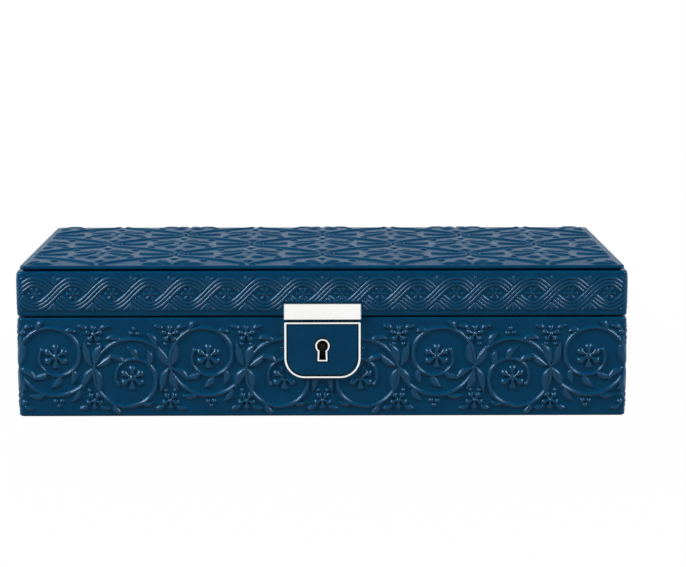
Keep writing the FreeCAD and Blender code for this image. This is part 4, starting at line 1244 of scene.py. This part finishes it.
def stood_up(outline_of, section):
    """Rings before the base's front, one for each inset and distance out."""
    rings = []
    for inset, out in section:
        flat = outline_of(inset)
        rings.append(np.column_stack([flat[:, 0], np.full(len(flat), -HALF_DEPTH - out), flat[:, 1]]))
    return rings


def joined_rings(bm, rings, closed):
    """Quads from ring to ring, and from the last to the first where closed; returns the rings' corners."""
    corners = [[bm.verts.new(point * MM) for point in ring] for ring in rings]
    count = len(rings[0])
    for k in range(len(rings) - (0 if closed else 1)):
        one = corners[k]
        two = corners[(k + 1) % len(rings)]
        for n in range(count):
            m = (n + 1) % count
            bm.faces.new((one[n], one[m], two[m], two[n]))
    return corners


def soft_frame(bm, outline_of, width):
    """A frame with softened front edges."""
    section = [
        (0, SHIELD_BACK),
        (0, SHIELD_OUT - METAL_SOFT),
        (METAL_SLIP, SHIELD_OUT - METAL_SLIP),
        (METAL_SOFT, SHIELD_OUT),
    ]
    section += [(width - inset, out) for inset, out in reversed(section)]
    joined_rings(bm, stood_up(outline_of, section), True)


def holed_slab(bm, edge, outs):
    """A slab between the shield and the keyhole; edge gives each ring's inset and growth."""
    outer = joined_rings(bm, stood_up(shield_outline, [(row[0], out) for row, out in zip(edge, outs)]), False)
    hole = joined_rings(bm, stood_up(key_outline, [(row[1], out) for row, out in zip(edge, outs)]), False)
    for end in (0, -1):
        corners = outer[end] + hole[end]
        loops = [[corner.co for corner in loop] for loop in (outer[end], hole[end])]
        for triangle in tessellate_polygon(loops):
            bm.faces.new([corners[n] for n in triangle])


def mesh_of(bm, name):
    """A mesh that is smooth round its curves and sharp at its edges."""
    bmesh.ops.recalc_face_normals(bm, faces=bm.faces)
    mesh = bpy.data.meshes.new(name)
    bm.to_mesh(mesh)
    bm.free()
    mesh.shade_smooth()
    mesh.set_sharp_from_angle(angle=math.radians(SMOOTH_UNDER))
    return mesh


def add_shield():
    """The plate with its keyhole, and the leather let into it."""
    metal_shape = bmesh.new()
    soft_frame(metal_shape, shield_outline, SHIELD_RIM)
    soft_frame(metal_shape, key_outline, KEY_RIM)
    inside = (SHIELD_RIM / 2, KEY_RIM / 2)
    holed_slab(metal_shape, (inside, inside), (2 * SHIELD_BACK, FIELD_FLOOR - CLEARANCE))
    shield = add_piece(mesh_of(metal_shape, "lock_shield"), "base", "polished_nickel")
    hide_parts("lock_plate")
    leather_shape = bmesh.new()
    groove = FIELD_FLOOR + FIELD_SOFT
    steps = (CLEARANCE, CLEARANCE, GROOVE_WIDTH, GROOVE_WIDTH + FIELD_SOFT, GROOVE_WIDTH + 2 * FIELD_SOFT)
    edge = [(SHIELD_RIM + step, KEY_RIM + step) for step in steps]
    holed_slab(leather_shape, edge, (FIELD_FLOOR, groove, groove, FIELD_OUT - FIELD_SOFT, FIELD_OUT))
    field = add_piece(mesh_of(leather_shape, "lock_field"), "base", "inlay_leather")
    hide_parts("lock_inlay")


finish_nodes()
add_camera()
add_world()
for softbox in SOFTBOXES:
    add_softbox(*softbox)
add_floor()
add_walls()
add_panel()
add_ring_pads()
add_bed()
for screws in SCREWS:
    add_screws(*screws)
add_shield()
